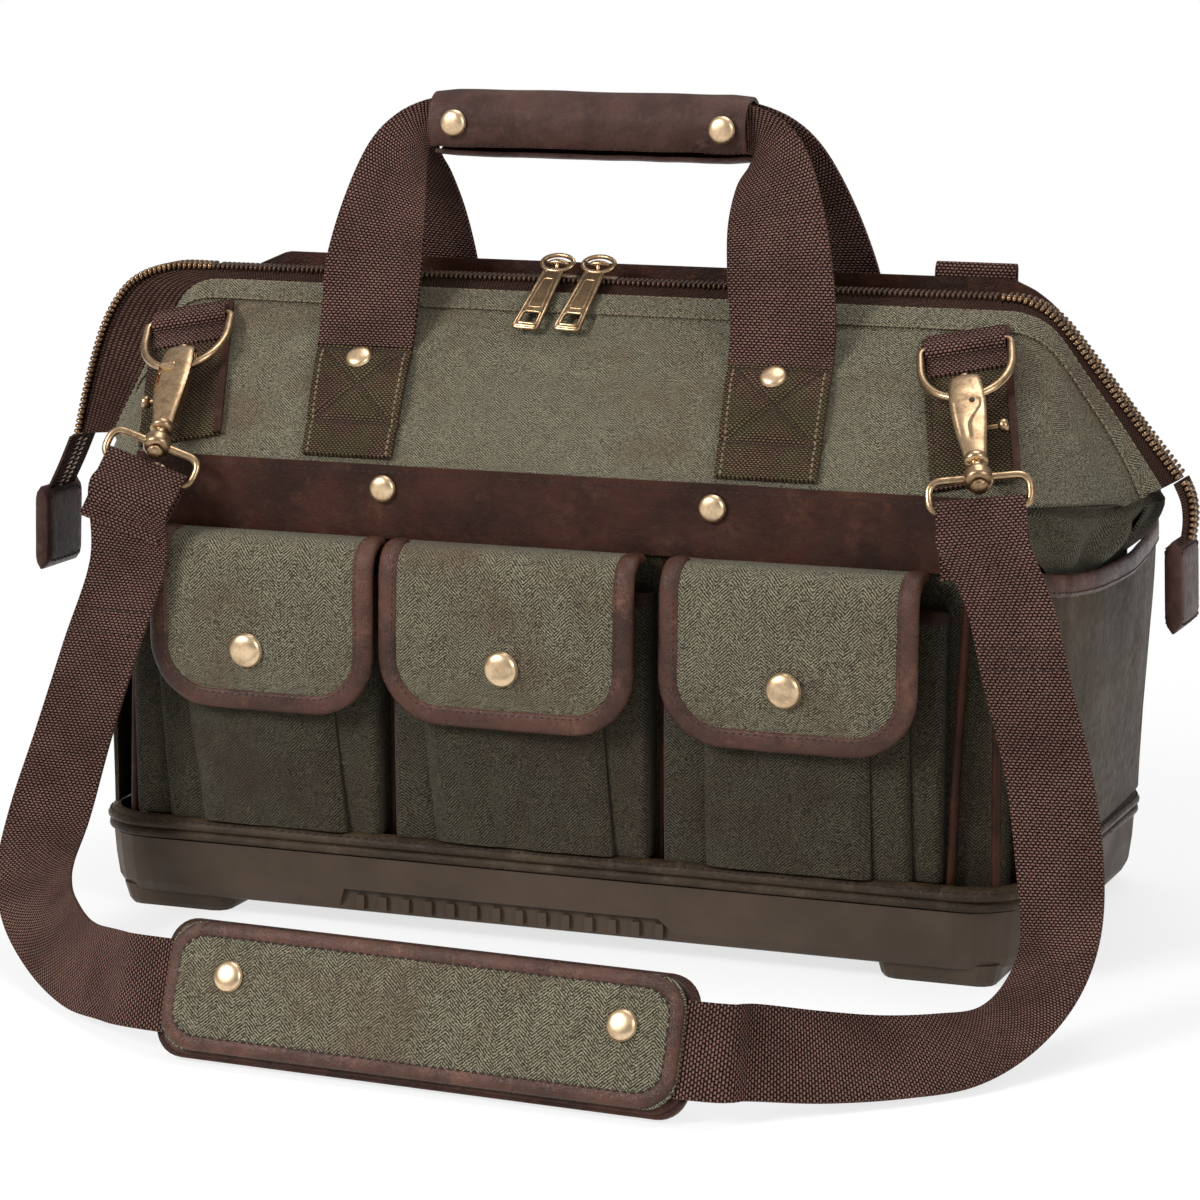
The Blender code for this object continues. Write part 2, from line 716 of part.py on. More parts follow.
def build_mouth(side):
    """The panel, its wire frame and the zip half of one side of the mouth, turning on the crease."""
    turn = backwards if side == "back" else list
    foot = turn(whole_line(PANEL_FOOT))
    hem = turn(whole_line(PANEL_HEM))
    crease = (0.0, BACK_Y if side == "back" else FRONT_Y, CREASE_Z)
    rows = []
    for t in (0.0, 0.12, 0.30, 0.50, 0.70, 0.84, 0.86, 1.0):
        rows.append([blend(a, b, t) for a, b in zip(foot, hem)])

    def thick(i, k):
        if i == 8:
            return LIP
        return CANVAS if i < 6 else CANVAS + 0.0008

    if side == "back":
        # along the straight middle the back hem stands up behind the teeth as a lip
        lip = []
        for edge in hem:
            tall = min(1.0, max(0.0, (0.205 - abs(edge.x)) / 0.02))
            lip.append(edge + Vector((0.0, 0.0013 + 0.0005 * tall, 0.0010 + 0.0080 * tall)))
        rows.append(lip)
    slab(side + "_panel", rows, thick, "canvas", crease)

    # the steel wire runs inside the mouth, just under the hem, with its ends at the lower corners
    wire = []
    toward = -1.0 if side == "back" else 1.0
    for a, b in list(zip(foot, hem))[1:-1]:
        point = blend(b, a, 0.0090 / max(0.02, (b - a).length))
        inward = -0.0022 * math.copysign(min(1.0, abs(point.x) / 0.2) ** 6, point.x)
        wire.append(point + Vector((inward, toward * 0.0018, -0.0027)))
    tube(side + "_frame", wire, 0.0014, "steel", sides=6, origin=crease)

    teeth = zip_line(toward * -ZIP_Y)
    rows = []
    for t in (0.0, 0.30, 0.62, 0.66, 1.0):
        row = []
        for a, b in zip(hem, teeth):
            start = a + (b - a).normalized() * 0.0022
            row.append(blend(start, b, t))
        rows.append(row)

    def zip_thick(i, k):
        return 0.0014 if i < 3 else 0.0034

    slab("zip_" + side, rows, zip_thick, "zip", crease)


def build_zip_ends():
    """The closed end of the zip beyond the mouth: both tapes and the teeth, down into a leather tab."""
    tails = (("left", ZIP_LEFT, -1, TAIL_LEFT), ("right", ZIP_RIGHT, 1, TAIL_RIGHT))
    for name, teeth, sign, tail_line in tails:
        # it carries on the teeth's line from just beyond their last point
        (x0, z0), (x1, z1) = teeth[-2:]
        step = 1.5 * GAP / math.hypot(x1 - x0, z1 - z0)
        start = (sign * (x1 + (x1 - x0) * step) + lean(z1), z1 + (z1 - z0) * step)
        line = [start] + list(tail_line[:-1])
        across = (-0.0125, -0.0030, -0.0026, 0.0026, 0.0030, 0.0125)
        rows = [[(x, y, z) for y in across] for x, z in line]

        def thick(i, k):
            return 0.0036 if k in (2, 3) else 0.0016

        tail = slab("zip_end_" + name, rows, thick, "leather")
        x, z = tail_line[-1]
        leaf = []
        for level, half_y, half_x in (
            (0.0235, 0.0170, 0.0022),
            (0.0215, 0.0180, 0.0033),
            (-0.0170, 0.0190, 0.0036),
            (-0.0200, 0.0182, 0.0030),
        ):
            shift = sign * 0.0016 * (0.5 - level / 0.05)
            leaf.append(rounded(half_x, half_y, 0.0015, z + level, (x + shift, 0.0), 2))
        fuse(tail, loft("tab", leaf))


def build_sliders():
    top = ZIP_Z + 0.0017 + GAP
    low = ZIP_Z - 0.0042
    for name, x in (("left", -0.0345), ("right", -0.0138)):
        centre = (x, 0.0)
        body = loft(
            "zip_slider_" + name,
            [
                rounded(0.0078, 0.0050, 0.0030, top, centre, 3),
                rounded(0.0085, 0.0058, 0.0032, top + 0.0005, centre, 3),
                rounded(0.0085, 0.0058, 0.0032, top + 0.0015, centre, 3),
                rounded(0.0074, 0.0046, 0.0028, top + 0.0021, centre, 3),
            ],
            "brass",
            origin=(x, 0.0, ZIP_Z),
        )
        under = loft(
            "under",
            [
                rounded(0.0076, 0.0034, 0.0030, low - 0.0018, centre, 3),
                rounded(0.0080, 0.0036, 0.0030, low, centre, 3),
            ],
        )
        neck = block("neck", (x - 0.0034, -0.0008, low - 0.0006), (x + 0.0034, 0.0008, top + 0.0008))
        z = top + 0.0016
        arch = [(x, -0.0050, z - 0.0006), (x, -0.0051, z + 0.0060), (x, -0.0032, z + 0.0078)]
        arch += [(x, 0.0022, z + 0.0070), (x, 0.0040, z - 0.0004)]
        fuse(body, under, neck, tube("arch", arch, 0.0011, sides=6))
        build_pull(name, x, z + 0.0024)


def build_pull(name, x, z):
    """The flat tapered pull: an eye round the slider's arch, a recessed plate and a slot at its end."""
    pivot = Vector((x, -0.0051, z))
    slope = math.radians(38.0)
    down = Vector((-0.07, -math.cos(slope), -math.sin(slope))).normalized()
    across = Vector((1.0, 0.0, 0.0)) - down * down.x
    across.normalize()
    out = across.cross(down)
    if out.z < 0:
        out = -out

    def at(a, b, c):
        return pivot + down * a + across * b + out * c

    def plate(label, outline, c0, c1):
        return loft(label, [[at(a, b, c0) for a, b in outline], [at(a, b, c1) for a, b in outline]])

    lift = 0.0002
    sides = [(-0.0042, 0.0030), (0.0040, 0.0036), (0.0090, 0.0040)]
    sides += [(0.0370, 0.0060), (0.0405, 0.0056), (0.0418, 0.0042)]
    outline = sides + [(a, -b) for a, b in reversed(sides)]
    pull = plate("zip_pull_" + name, outline, lift - 0.0008, lift + 0.0010)
    pull.data.materials.append(material_for("zip_pull_" + name, "brass"))
    eye = [(-0.0026, 0.0018), (0.0027, 0.0018), (0.0027, -0.0018), (-0.0026, -0.0018)]
    slot = [(0.0305, 0.0040), (0.0375, 0.0044), (0.0375, -0.0044), (0.0305, -0.0040)]
    panel = [(0.0075, 0.0021), (0.0275, 0.0034), (0.0275, -0.0034), (0.0075, -0.0021)]
    cut(
        pull,
        plate("eye", eye, -0.0030, 0.0030),
        plate("slot", slot, -0.0030, 0.0030),
        plate("panel", panel, lift + 0.0005, 0.0030),
    )
    put_origin(pull, pivot)


def put_origin(made, point):
    """Moves the object's origin to the point and leaves the shape where it is."""
    shift = Vector(point) - made.location
    made.data.transform(Matrix.Translation(-shift))
    made.location = Vector(point)


def build_gussets():
    """The slack end of the body between the two panels, tucked in over each end pocket."""
    for name, sx in (("left", -1), ("right", 1)):
        side = SIDE_X + GUSSET / 2 + GAP
        lower = [(side, FRONT_Y + 0.0220, 0.2000), (side, FRONT_Y + 0.0540, 0.1975)]
        lower += [(side, 0.0, 0.1950)]
        lower += [(side, BACK_Y - 0.0580, 0.1975), (side, BACK_Y - 0.0260, 0.2000)]
        near, far = SIDE_X + 0.0075, SIDE_X + 0.0180
        upper = [(near, FRONT_Y + 0.0300, 0.2060), (far, FRONT_Y + 0.0540, 0.2040)]
        upper += [(SIDE_X + 0.0160, 0.0, 0.1985)]
        upper += [(far, BACK_Y - 0.0560, 0.2040), (near, BACK_Y - 0.0300, 0.2060)]
        low = along_points(smooth_points([(sx * x, y, z) for x, y, z in lower], 2), 15)
        high = along_points(smooth_points([(sx * x, y, z) for x, y, z in upper], 2), 15)
        rows = [low]
        for t, drop in ((0.33, 0.0030), (0.66, 0.0024)):
            rows.append([blend(a, b, t) - Vector((0, 0, drop)) for a, b in zip(low, high)])
        rows.append(high)
        slab("gusset_" + name, rows, GUSSET, "canvas")


# Handles and grip
def leg_lines(side, leg):
    """The two edge lines of one leg of a handle, from its foot up to the grip's end."""
    rises = (0.0060, 0.0250, 0.0500, 0.0755)
    if leg == "left":
        outer = [(blend(-0.1205, -0.1375, s / 0.0720), s) for s in rises]
        inner = [(blend(-0.0762, -0.0895, s / 0.0720), s) for s in rises]
        free_outer = [(-0.1390, -0.0400, 0.2790), (-0.1395, -0.0330, 0.3020)]
        free_outer += [(-0.1345, -0.0230, 0.3300), (-0.1260, -0.0130, 0.3550)]
        free_outer.append((-0.1140, -0.0070, 0.3690))
        end = GRIP_X[0] - 0.0020
        free_inner = [(-0.0905, -0.0400, 0.2790), (-0.0910, -0.0330, 0.3000)]
        free_inner += [(-0.0930, -0.0240, 0.3220), (-0.0960, -0.0150, 0.3390)]
        free_inner.append((-0.0985, -0.0085, 0.3480))
    else:
        outer = [(blend(0.1275, 0.1165, s / 0.0720), s) for s in rises]
        inner = [(blend(0.0800, 0.0668, s / 0.0720), s) for s in rises]
        free_outer = [(0.1150, -0.0400, 0.2790), (0.1115, -0.0330, 0.3020), (0.1035, -0.0230, 0.3300)]
        free_outer += [(0.0925, -0.0130, 0.3550), (0.0800, -0.0070, 0.3690)]
        end = GRIP_X[1] + 0.0020
        free_inner = [(0.0650, -0.0400, 0.2790), (0.0610, -0.0330, 0.3000), (0.0580, -0.0240, 0.3220)]
        free_inner += [(0.0590, -0.0150, 0.3390), (0.0630, -0.0085, 0.3480)]
    free_outer.append((end, -GRIP_WEB[0], GRIP_Z + GRIP_WEB[1]))
    free_inner.append((end, -GRIP_WEB[0], GRIP_Z - GRIP_WEB[1]))
    back = side == "back"
    lines = []
    for sewn, free in ((outer, free_outer), (inner, free_inner)):
        line = [on_panel(x, s, GAP + WEB / 2, back) for x, s in sewn]
        line += [Vector((x, -y if back else y, z)) for x, y, z in free]
        lines.append(line)
    return lines


def build_handles():
    for side in ("front", "back"):
        outer_l, inner_l = leg_lines(side, "left")
        outer_r, inner_r = leg_lines(side, "right")
        y = -GRIP_WEB[0] if side == "front" else GRIP_WEB[0]
        along = [blend(GRIP_X[0], GRIP_X[1], t) for t in (0.16, 0.50, 0.84)]
        outer_mid = [Vector((x, y, GRIP_Z + GRIP_WEB[1])) for x in along]
        inner_mid = [Vector((x, y, GRIP_Z - GRIP_WEB[1])) for x in along]
        outer = outer_l + outer_mid + outer_r[::-1]
        inner = inner_l + inner_mid + inner_r[::-1]
        crease = (0.0, FRONT_Y if side == "front" else BACK_Y, CREASE_Z)
        ribbon("handle_" + side, outer, inner, WEB, "webbing", crease, columns=3)
        for name, x in (("left", -0.1140), ("right", 0.0905)):
            at = on_panel(x, 0.0670, WEB + 2 * GAP, side == "back")
            above = on_panel(x, 0.0680, WEB, side == "back")
            below = on_panel(x, 0.0660, WEB, side == "back")
            facing = Vector((1, 0, 0)).cross(above - below).normalized()
            if facing.z < 0:
                facing = -facing
            dome("handle_rivet_%s_%s" % (side, name), RIVET_R, 0.0032, at, facing, origin=crease)


def build_grip():
    """The leather wrap: a back part, and a front flap that turns up on the top line."""
    x0, x1 = GRIP_X
    ry, rz = GRIP_R
    wall = 0.0020
    hinge = (0.0, 0.0030, GRIP_Z + rz - 0.0004)

    def arc(start, end, steps, inset):
        points = []
        for k in range(steps + 1):
            a = math.radians(blend(start, end, k / steps))
            points.append((math.cos(a) * (ry - inset), GRIP_Z + math.sin(a) * (rz - inset)))
        return points

    def shell(name, start, end, steps, grow, origin):
        line = arc(start, end, steps, wall / 2 - grow)
        rows = []
        for x, squeeze in ((x0, 0.02), (x0 + 0.0030, 0.0), (x1 - 0.0030, 0.0), (x1, 0.02)):
            rows.append([(x, y * (1 - squeeze), z) for y, z in line])
        return slab(name, rows, wall, "leather", origin)

    shell("grip_wrap", 78.0, -112.0, 12, 0.0, (0.0, 0.0, GRIP_Z))
    shell("grip_flap", 82.0, 222.0, 10, 0.0, hinge)
    for name, x in (("left", x0 + 0.0135), ("right", x1 - 0.0105)):
        a = math.radians(178.0)
        at = (x, math.cos(a) * (ry + GAP), GRIP_Z + math.sin(a) * (rz + GAP))
        dome("grip_snap_" + name, RIVET_R, 0.0030, at, (0, -1, 0.05), origin=hinge)


# Rings, hooks, strap
def ring_frame(name):
    """The bar's place on the slope, the way up the tab and the way along the bar."""
    x, s = RING_BAR[name]
    side = Vector((1.0, 0.0, 0.0))
    up = UP * math.cos(RING_LEAN) - side * math.sin(RING_LEAN)
    along = side * math.cos(RING_LEAN) + UP * math.sin(RING_LEAN)
    return on_panel(x, s, 0.0), up, along


def build_rings():
    half = RING_HALF - 0.0025
    crease = (0.0, FRONT_Y, CREASE_Z)
    for name in ("left", "right"):
        origin, up, along = ring_frame(name)

        def place(b, rise, n):
            return origin + along * b + up * rise + OUT * n

        # a patch sewn flat, and a strip over it that holds the ring's bar
        lowest = (0.0100 - RING_BAR[name][1]) / math.cos(RING_LEAN)
        rises = (lowest, lowest / 2, 0.0110)
        patch = slab(
            "ring_tab_" + name,
            [[place(b, rise, GAP + 0.0014) for b in (-half, half)] for rise in rises],
            0.0016,
            "webbing",
            crease,
        )
        strip = [(0.0110, 0.0027), (0.0060, 0.0029), (0.0036, 0.0064), (0.0, 0.0078)]
        strip += [(-0.0036, 0.0064), (-0.0060, 0.0029), (-0.0150, 0.0027)]
        strip_rows = [[place(b, rise, n) for b in (-half, half)] for rise, n in strip]
        fuse(patch, slab("strip", strip_rows, 0.0018))

        bar = place(0.0, 0.0, RING_OFF[0])
        low = place(0.0, -RING_DEEP, RING_OFF[1])
        down = (low - bar).normalized()
        straight = 0.0150
        line = [(-RING_HALF + 0.0022, 0.0), (RING_HALF - 0.0022, 0.0), (RING_HALF, 0.0022)]
        for k in range(0, 13):
            a = math.pi * k / 12
            line.append((RING_HALF * math.cos(a), straight + (RING_DEEP - straight) * math.sin(a)))
        line.append((-RING_HALF, 0.0022))
        ring = [bar + along * b + down * a for b, a in line]
        tube("ring_" + name, ring, RING_WIRE, "brass", closed=True, sides=8, origin=bar)
        build_hook(name)


def hook_frame(name):
    """The hook's own axes: a runs down its spine, b across it to the outer side, c off the panel."""
    origin, up, along = ring_frame(name)
    at = origin - up * RING_DEEP + OUT * RING_OFF[1]
    lean_by = HOOK_LEAN[name]
    down = Vector((math.sin(lean_by), 0.0, 0.0)) - UP * math.cos(lean_by) + OUT * HOOK_TIP_OUT
    down.normalize()
    across = down.cross(OUT).normalized()
    if across.x * (-1 if name == "left" else 1) < 0:
        across = -across
    out = across.cross(down)
    if out.dot(OUT) < 0:
        out = -out
    return at, down, across, out


def build_hook(name):
    at, down, across, out = hook_frame(name)

    def place(a, b, c):
        return at + down * a + across * b + out * c

    spine = (
        (0.0060, -0.0035, 0.0046),
        (-0.0020, -0.0037, 0.0056),
        (-0.0090, -0.0033, 0.0060),
        (-0.0122, -0.0002, 0.0062),
        (-0.0096, 0.0036, 0.0066),
        (-0.0030, 0.0047, 0.0074),
        (0.0080, 0.0048, 0.0082),
        (0.0230, 0.0040, 0.0076),
        (0.0370, 0.0020, 0.0060),
        (0.0455, 0.0004, 0.0050),
    )
    rows = []
    for a, c, half in spine:
        rows.append([place(a, half * u, c - 0.0008 * u ** 2) for u in (-1.0, -0.55, 0.0, 0.55, 1.0)])
    hook = slab("hook_" + name, rows, 0.0026, "brass", at)
    barrel = turned(
        "barrel",
        [(0.0040, 0.0), (0.0052, 0.0012), (0.0052, 0.0060), (0.0044, 0.0070)],
        place(SWIVEL_AT - 0.0125, 0, 0.0004),
        down,
        sides=14,
    )
    stem = turned(
        "stem",
        [(0.0020, 0.0), (0.0020, 0.0110), (0.0036, 0.0112), (0.0034, 0.0126), (0.0018, 0.0136)],
        place(SWIVEL_AT - 0.0062, 0, 0.0004),
        down,
        sides=12,
    )
    fuse(hook, barrel, stem)
    put_origin(hook, at)

    # the thumb trigger is a bolt behind the spine, with a knob out at the side
    plan = (
        (0.0060 + GAP, 0.0022, -0.0046, -0.0026),
        (0.0090, 0.0034, -0.0047, -0.0016),
        (0.0280, 0.0034, -0.0047, -0.0016),
        (0.0300, 0.0024, -0.0044, -0.0020),
    )
    bolt = []
    for a, half, c0, c1 in plan:
        bolt.append([place(a, -half, c0), place(a, half, c0), place(a, half, c1), place(a, -half, c1)])
    trigger = loft("trigger_" + name, bolt, "brass")
    knob = turned(
        "knob",
        [
            (0.0013, 0.0),
            (0.0013, 0.0085),
            (0.0025, 0.0090),
            (0.0027, 0.0105),
            (0.0027, 0.0140),
            (0.0021, 0.0150),
        ],
        place(0.0190, 0.0010, -0.0032),
        across,
        sides=10,
    )
    fuse(trigger, knob)
    put_origin(trigger, place(0.0190, 0, -0.0032))

    # the swivel eye turns on the stem and carries the rectangular loop
    centre = place(SWIVEL_AT, 0, 0.0004)
    eye = turned(
        "swivel_" + name,
        [(0.0052, -0.0036), (0.0062, -0.0026), (0.0062, 0.0026), (0.0052, 0.0036)],
        centre,
        down,
        "brass",
        sides=16,
    )
    bar, drop = loop_frame(name, across)
    half, tall = LOOP_HALF
    corner = 0.0036
    line = [(0.0, 0.0), (half - corner, 0.0)]
    for k in range(1, 4):
        a = math.radians(30.0 * k)
        line.append((half - corner + corner * math.sin(a), corner - corner * math.cos(a)))
    for k in range(1, 4):
        a = math.radians(30.0 * k)
        line.append((half - corner + corner * math.cos(a), 2 * tall - corner + corner * math.sin(a)))
    line = line + [(0.0, 2 * tall)] + [(-b, a) for b, a in reversed(line[1:])]
    wire = tube("wire", [centre + bar * b + drop * a for b, a in line], LOOP_WIRE, closed=True, sides=8)
    fuse(eye, wire)
    bore = turned("bore", [(0.0025, -0.0100), (0.0025, 0.0100)], centre, down, sides=16)
    cut(eye, bore)
    put_origin(eye, centre)


def loop_frame(name, across):
    """Along the rectangular loop's bars, and down it: nearly plumb and square to the bars."""
    bar = across if across.x > 0 else -across
    bar = (Matrix.Rotation(-LOOP_TILT[name], 3, "Y") @ bar).normalized()
    drop = Vector((0.0, -0.40, -0.92))
    return bar, (drop - bar * drop.dot(bar)).normalized()


PAD_AT = Vector((-0.0840, FRONT_Y - 0.2330, 0.0022))
PAD_ALONG = Vector((0.9987, -0.0500, 0.0)).normalized()
PAD_RISE = Vector((0.0, 0.375, 0.927)).normalized()
PAD_SIZE = (0.2390, 0.0580)
PAD_RIVETS = (0.0335, 0.0290)
STRAP_IN_PAD = 0.0285
# The strap's two edges at points down each side; y is measured from the front of the body
STRAP_LEFT = (
    ((-0.2135, -0.0325, 0.1700), (-0.1755, -0.0315, 0.1680)),
    ((-0.2250, -0.0390, 0.1310), (-0.1870, -0.0380, 0.1300)),
    ((-0.2360, -0.0480, 0.0900), (-0.1980, -0.0460, 0.0890)),
    ((-0.2400, -0.0670, 0.0570), (-0.2030, -0.0590, 0.0540)),
    ((-0.2300, -0.0990, 0.0350), (-0.1990, -0.0820, 0.0400)),
    ((-0.2090, -0.1310, 0.0200), (-0.1870, -0.1080, 0.0370)),
    ((-0.1800, -0.1610, 0.0090), (-0.1700, -0.1360, 0.0370)),
    ((-0.1490, -0.1880, 0.0040), (-0.1450, -0.1690, 0.0375)),
    ((-0.1220, -0.2080, 0.0060), (-0.1200, -0.1920, 0.0415)),
)
STRAP_RIGHT = (
    ((0.2440, -0.0340, 0.1790), (0.2060, -0.0350, 0.1760)),
    ((0.2540, -0.0390, 0.1460), (0.2160, -0.0410, 0.1440)),
    ((0.2660, -0.0450, 0.1060), (0.2280, -0.0460, 0.1050)),
    ((0.2740, -0.0560, 0.0690), (0.2360, -0.0550, 0.0670)),
    ((0.2770, -0.0750, 0.0440), (0.2410, -0.0640, 0.0400)),
    ((0.2740, -0.1010, 0.0250), (0.2400, -0.0820, 0.0260)),
    ((0.2640, -0.1310, 0.0110), (0.2350, -0.1070, 0.0200)),
    ((0.2490, -0.1610, 0.0040), (0.2260, -0.1390, 0.0250)),
    ((0.2270, -0.1860, 0.0036), (0.2100, -0.1660, 0.0300)),
    ((0.2010, -0.2080, 0.0048), (0.1920, -0.1910, 0.0370)),
    ((0.1760, -0.2260, 0.0080), (0.1720, -0.2100, 0.0430)),
)


def strap_end(name):
    """The strap's edges over the rectangular loop: up behind it, round its bar and down in front."""
    at, down, across, out = hook_frame(name)
    along, drop = loop_frame(name, across)
    bar = at + down * SWIVEL_AT + out * 0.0004 + drop * (2 * LOOP_HALF[1])
    back = drop.cross(along)
    if back.y < 0:
        back = -back
    outer = -along if name == "left" else along
    path = [(0.0300, -0.0016), (0.0180, -0.0010), (0.0060, 0.0020), (0.0, 0.0038), (-0.0031, 0.0025)]
    path += [(-0.0041, 0.0), (-0.0031, -0.0026), (0.0, -0.0039), (0.0080, -0.0048), (0.0180, -0.0058)]
    lines = []
    for half in (STRAP_WIDTH / 2, -STRAP_WIDTH / 2):
        lines.append([bar + outer * half + drop * a + back * b for a, b in path])
    return lines


def build_strap():
    left_outer, left_inner = strap_end("left")
    right_outer, right_inner = strap_end("right")
    starts = (0.0, PAD_SIZE[0] / 2, PAD_SIZE[0])
    inside = [PAD_AT + PAD_ALONG * a + PAD_RISE * STRAP_IN_PAD for a in starts]
    low = [point - PAD_RISE * (STRAP_WIDTH / 2) for point in inside]
    high = [point + PAD_RISE * (STRAP_WIDTH / 2) for point in inside]
    front = Vector((0.0, FRONT_Y, 0.0))
    one = left_outer + [front + Vector(a) for a, b in STRAP_LEFT] + low
    one += [front + Vector(a) for a, b in reversed(STRAP_RIGHT)] + right_outer[::-1]
    two = left_inner + [front + Vector(b) for a, b in STRAP_LEFT] + high
    two += [front + Vector(b) for a, b in reversed(STRAP_RIGHT)] + right_inner[::-1]
    ribbon("strap", one, two, STRAP, "webbing", columns=3)


def build_pad():
    """Two bound layers with the strap between them, standing on the long edge and leaning back."""
    length, height = PAD_SIZE
    face = PAD_ALONG.cross(PAD_RISE).normalized()
    if face.y > 0:
        face = -face

    def layer(name, x0, x1, z0, z1, thin, thick, side, material):
        radius = 0.0130
        outline = []
        corners = (
            (x1 - radius, z1 - radius, 0),
            (x0 + radius, z1 - radius, 90),
            (x0 + radius, z0 + radius, 180),
            (x1 - radius, z0 + radius, 270),
        )
        for cx, cz, start in corners:
            for k in range(5):
                a = math.radians(start + 22.5 * k)
                outline.append((cx + radius * math.cos(a), cz + radius * math.sin(a)))
        mid = ((x0 + x1) / 2, (z0 + z1) / 2)
        half = ((x1 - x0) / 2, (z1 - z0) / 2)
        verts = []
        bound = thin * 1.7
        plan = ((0.0, thin * 1.2), (0.0016, bound), (0.0060, bound), (0.0070, thin), (0.0140, thick))
        for inset, depth in plan:
            sx = 1 - inset / half[0]
            sz = 1 - inset / half[1]
            for ox, oz in outline:
                a, b = mid[0] + (ox - mid[0]) * sx, mid[1] + (oz - mid[1]) * sz
                off = side * (STRAP / 2 + GAP + depth)
                verts.append(PAD_AT + PAD_ALONG * a + PAD_RISE * b + face * off)
        count = len(outline)
        for ox, oz in outline:
            sx = 1 - 0.0006 / half[0]
            a, b = mid[0] + (ox - mid[0]) * sx, mid[1] + (oz - mid[1]) * sx
            off = side * (STRAP / 2 + GAP)
            verts.append(PAD_AT + PAD_ALONG * a + PAD_RISE * b + face * off)
        faces = []
        for i in range(len(plan) - 1):
            for k in range(count):
                m = (k + 1) % count
                faces.append((i * count + k, i * count + m, (i + 1) * count + m, (i + 1) * count + k))
        last = (len(plan) - 1) * count
        under = len(plan) * count
        for k in range(count):
            m = (k + 1) % count
            faces.append((k, under + k, under + m, m))
        faces.append(tuple(last + k for k in range(count)))
        faces.append(tuple(under + k for k in range(count)))
        solid(name, verts, faces, material)

    layer("pad_base", 0.0, length, 0.0, height, 0.0022, 0.0040, -1, "leather")
    layer("pad_cover", 0.0040, length - 0.0040, 0.0030, height - 0.0015, 0.0018, 0.0036, 1, "canvas")
    for name, a in (("left", PAD_RIVETS[0]), ("right", length - PAD_RIVETS[1])):
        at = PAD_AT + PAD_ALONG * a + PAD_RISE * (height * 0.60) + face * (STRAP / 2 + 0.0036 + 2 * GAP)
        dome("pad_rivet_" + name, RIVET_R, 0.0030, at, face)


def build_back_loop():
    """A short loop of webbing on the back panel whose fold stands above the zip."""
    half = 0.0190
    x = 0.1630
    rows = []
    for place, n in ((0.0840, 0.0016), (0.0980, 0.0016), (0.1090, 0.0018)):
        rows.append([on_panel(x + b, place, n, True) for b in (-half, half)])
    fold = ((0.0195, 0.2930), (0.0190, 0.3005), (0.0207, 0.3044), (0.0233, 0.3034), (0.0236, 0.2940))
    for y, z in fold:
        rows.append([(x - half, y, z), (x + half, y, z)])
    for place, n in ((0.1030, 0.0052), (0.0930, 0.0046)):
        rows.append([on_panel(x + b, place, n, True) for b in (-half, half)])
    slab("back_loop", rows, 0.0018, "webbing", (0.0, BACK_Y, CREASE_Z))


clear_scene()
build_base()
build_shell()
build_end_pockets()
build_band()
build_pockets()
build_flaps()
build_mouth("front")
build_mouth("back")
build_zip_ends()
build_sliders()
build_gussets()
build_handles()
build_grip()
build_rings()
build_strap()
build_pad()
build_back_loop()
for made in bpy.data.objects:
    made.location += Vector(FRAME_SHIFT)
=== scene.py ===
"""The looks of a wide-mouth travel bag: waxed canvas, leather, webbing, aged brass and a moulded base."""

import math

import bmesh
import bpy
import numpy as np
from mathutils import Matrix, Vector, noise


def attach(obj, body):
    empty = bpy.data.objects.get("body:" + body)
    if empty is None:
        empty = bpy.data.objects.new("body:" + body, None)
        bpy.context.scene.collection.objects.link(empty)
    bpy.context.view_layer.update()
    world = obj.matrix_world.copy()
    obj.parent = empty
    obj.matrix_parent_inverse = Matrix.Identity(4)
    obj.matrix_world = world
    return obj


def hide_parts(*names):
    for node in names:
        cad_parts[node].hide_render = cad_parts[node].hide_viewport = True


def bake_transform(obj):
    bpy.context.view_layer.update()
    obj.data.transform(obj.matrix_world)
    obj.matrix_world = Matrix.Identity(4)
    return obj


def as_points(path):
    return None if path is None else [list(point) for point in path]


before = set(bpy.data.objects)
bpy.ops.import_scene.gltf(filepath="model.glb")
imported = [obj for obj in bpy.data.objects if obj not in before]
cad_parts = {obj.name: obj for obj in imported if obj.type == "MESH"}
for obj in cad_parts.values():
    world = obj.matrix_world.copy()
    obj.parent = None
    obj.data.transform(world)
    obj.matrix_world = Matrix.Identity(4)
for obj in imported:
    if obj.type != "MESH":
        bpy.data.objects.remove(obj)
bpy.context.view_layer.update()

# The bag's own sizes, in metres, measured from the middle of its base; SHIFT takes them into the frame
SHIFT = Vector((0.018, 0.008, 0.0))
FRONT_Y, BACK_Y = -0.104, 0.112
SIDE_X, SHELL_CORNER = 0.22, 0.026
BODY_MIDDLE, BODY_HALF = (FRONT_Y + BACK_Y) / 2, (BACK_Y - FRONT_Y) / 2
TRAY_HALF, TRAY_CORNER, TRAY_TOP, TRAY_FLOOR = (0.2255, 0.1185), 0.029, 0.035, 0.011
WELT_TOP, CREASE_Z = 0.046, 0.213
CANVAS, WEB, GAP = 0.0022, 0.0022, 0.0003
HEM_Y, HEM_Z, ZIP_Y, ZIP_Z = 0.013, 0.286, 0.0022, 0.2925
MOUTH_LEAN = -0.008
HEM_WIDTH = 0.0125
TWILL = 0.0016
BAND_Z, BAND_HALF, BAND_RIVETS = (0.183, 0.2165), 0.204, (-0.1935, -0.0787, 0.0805, 0.1969)
GRIP_X, GRIP_Z, GRIP_R, GRIP_WEB = (-0.096, 0.0615), 0.365, (0.0135, 0.016), (0.0052, 0.0113)
STRAP_WIDTH, STRAP = 0.039, 0.0024

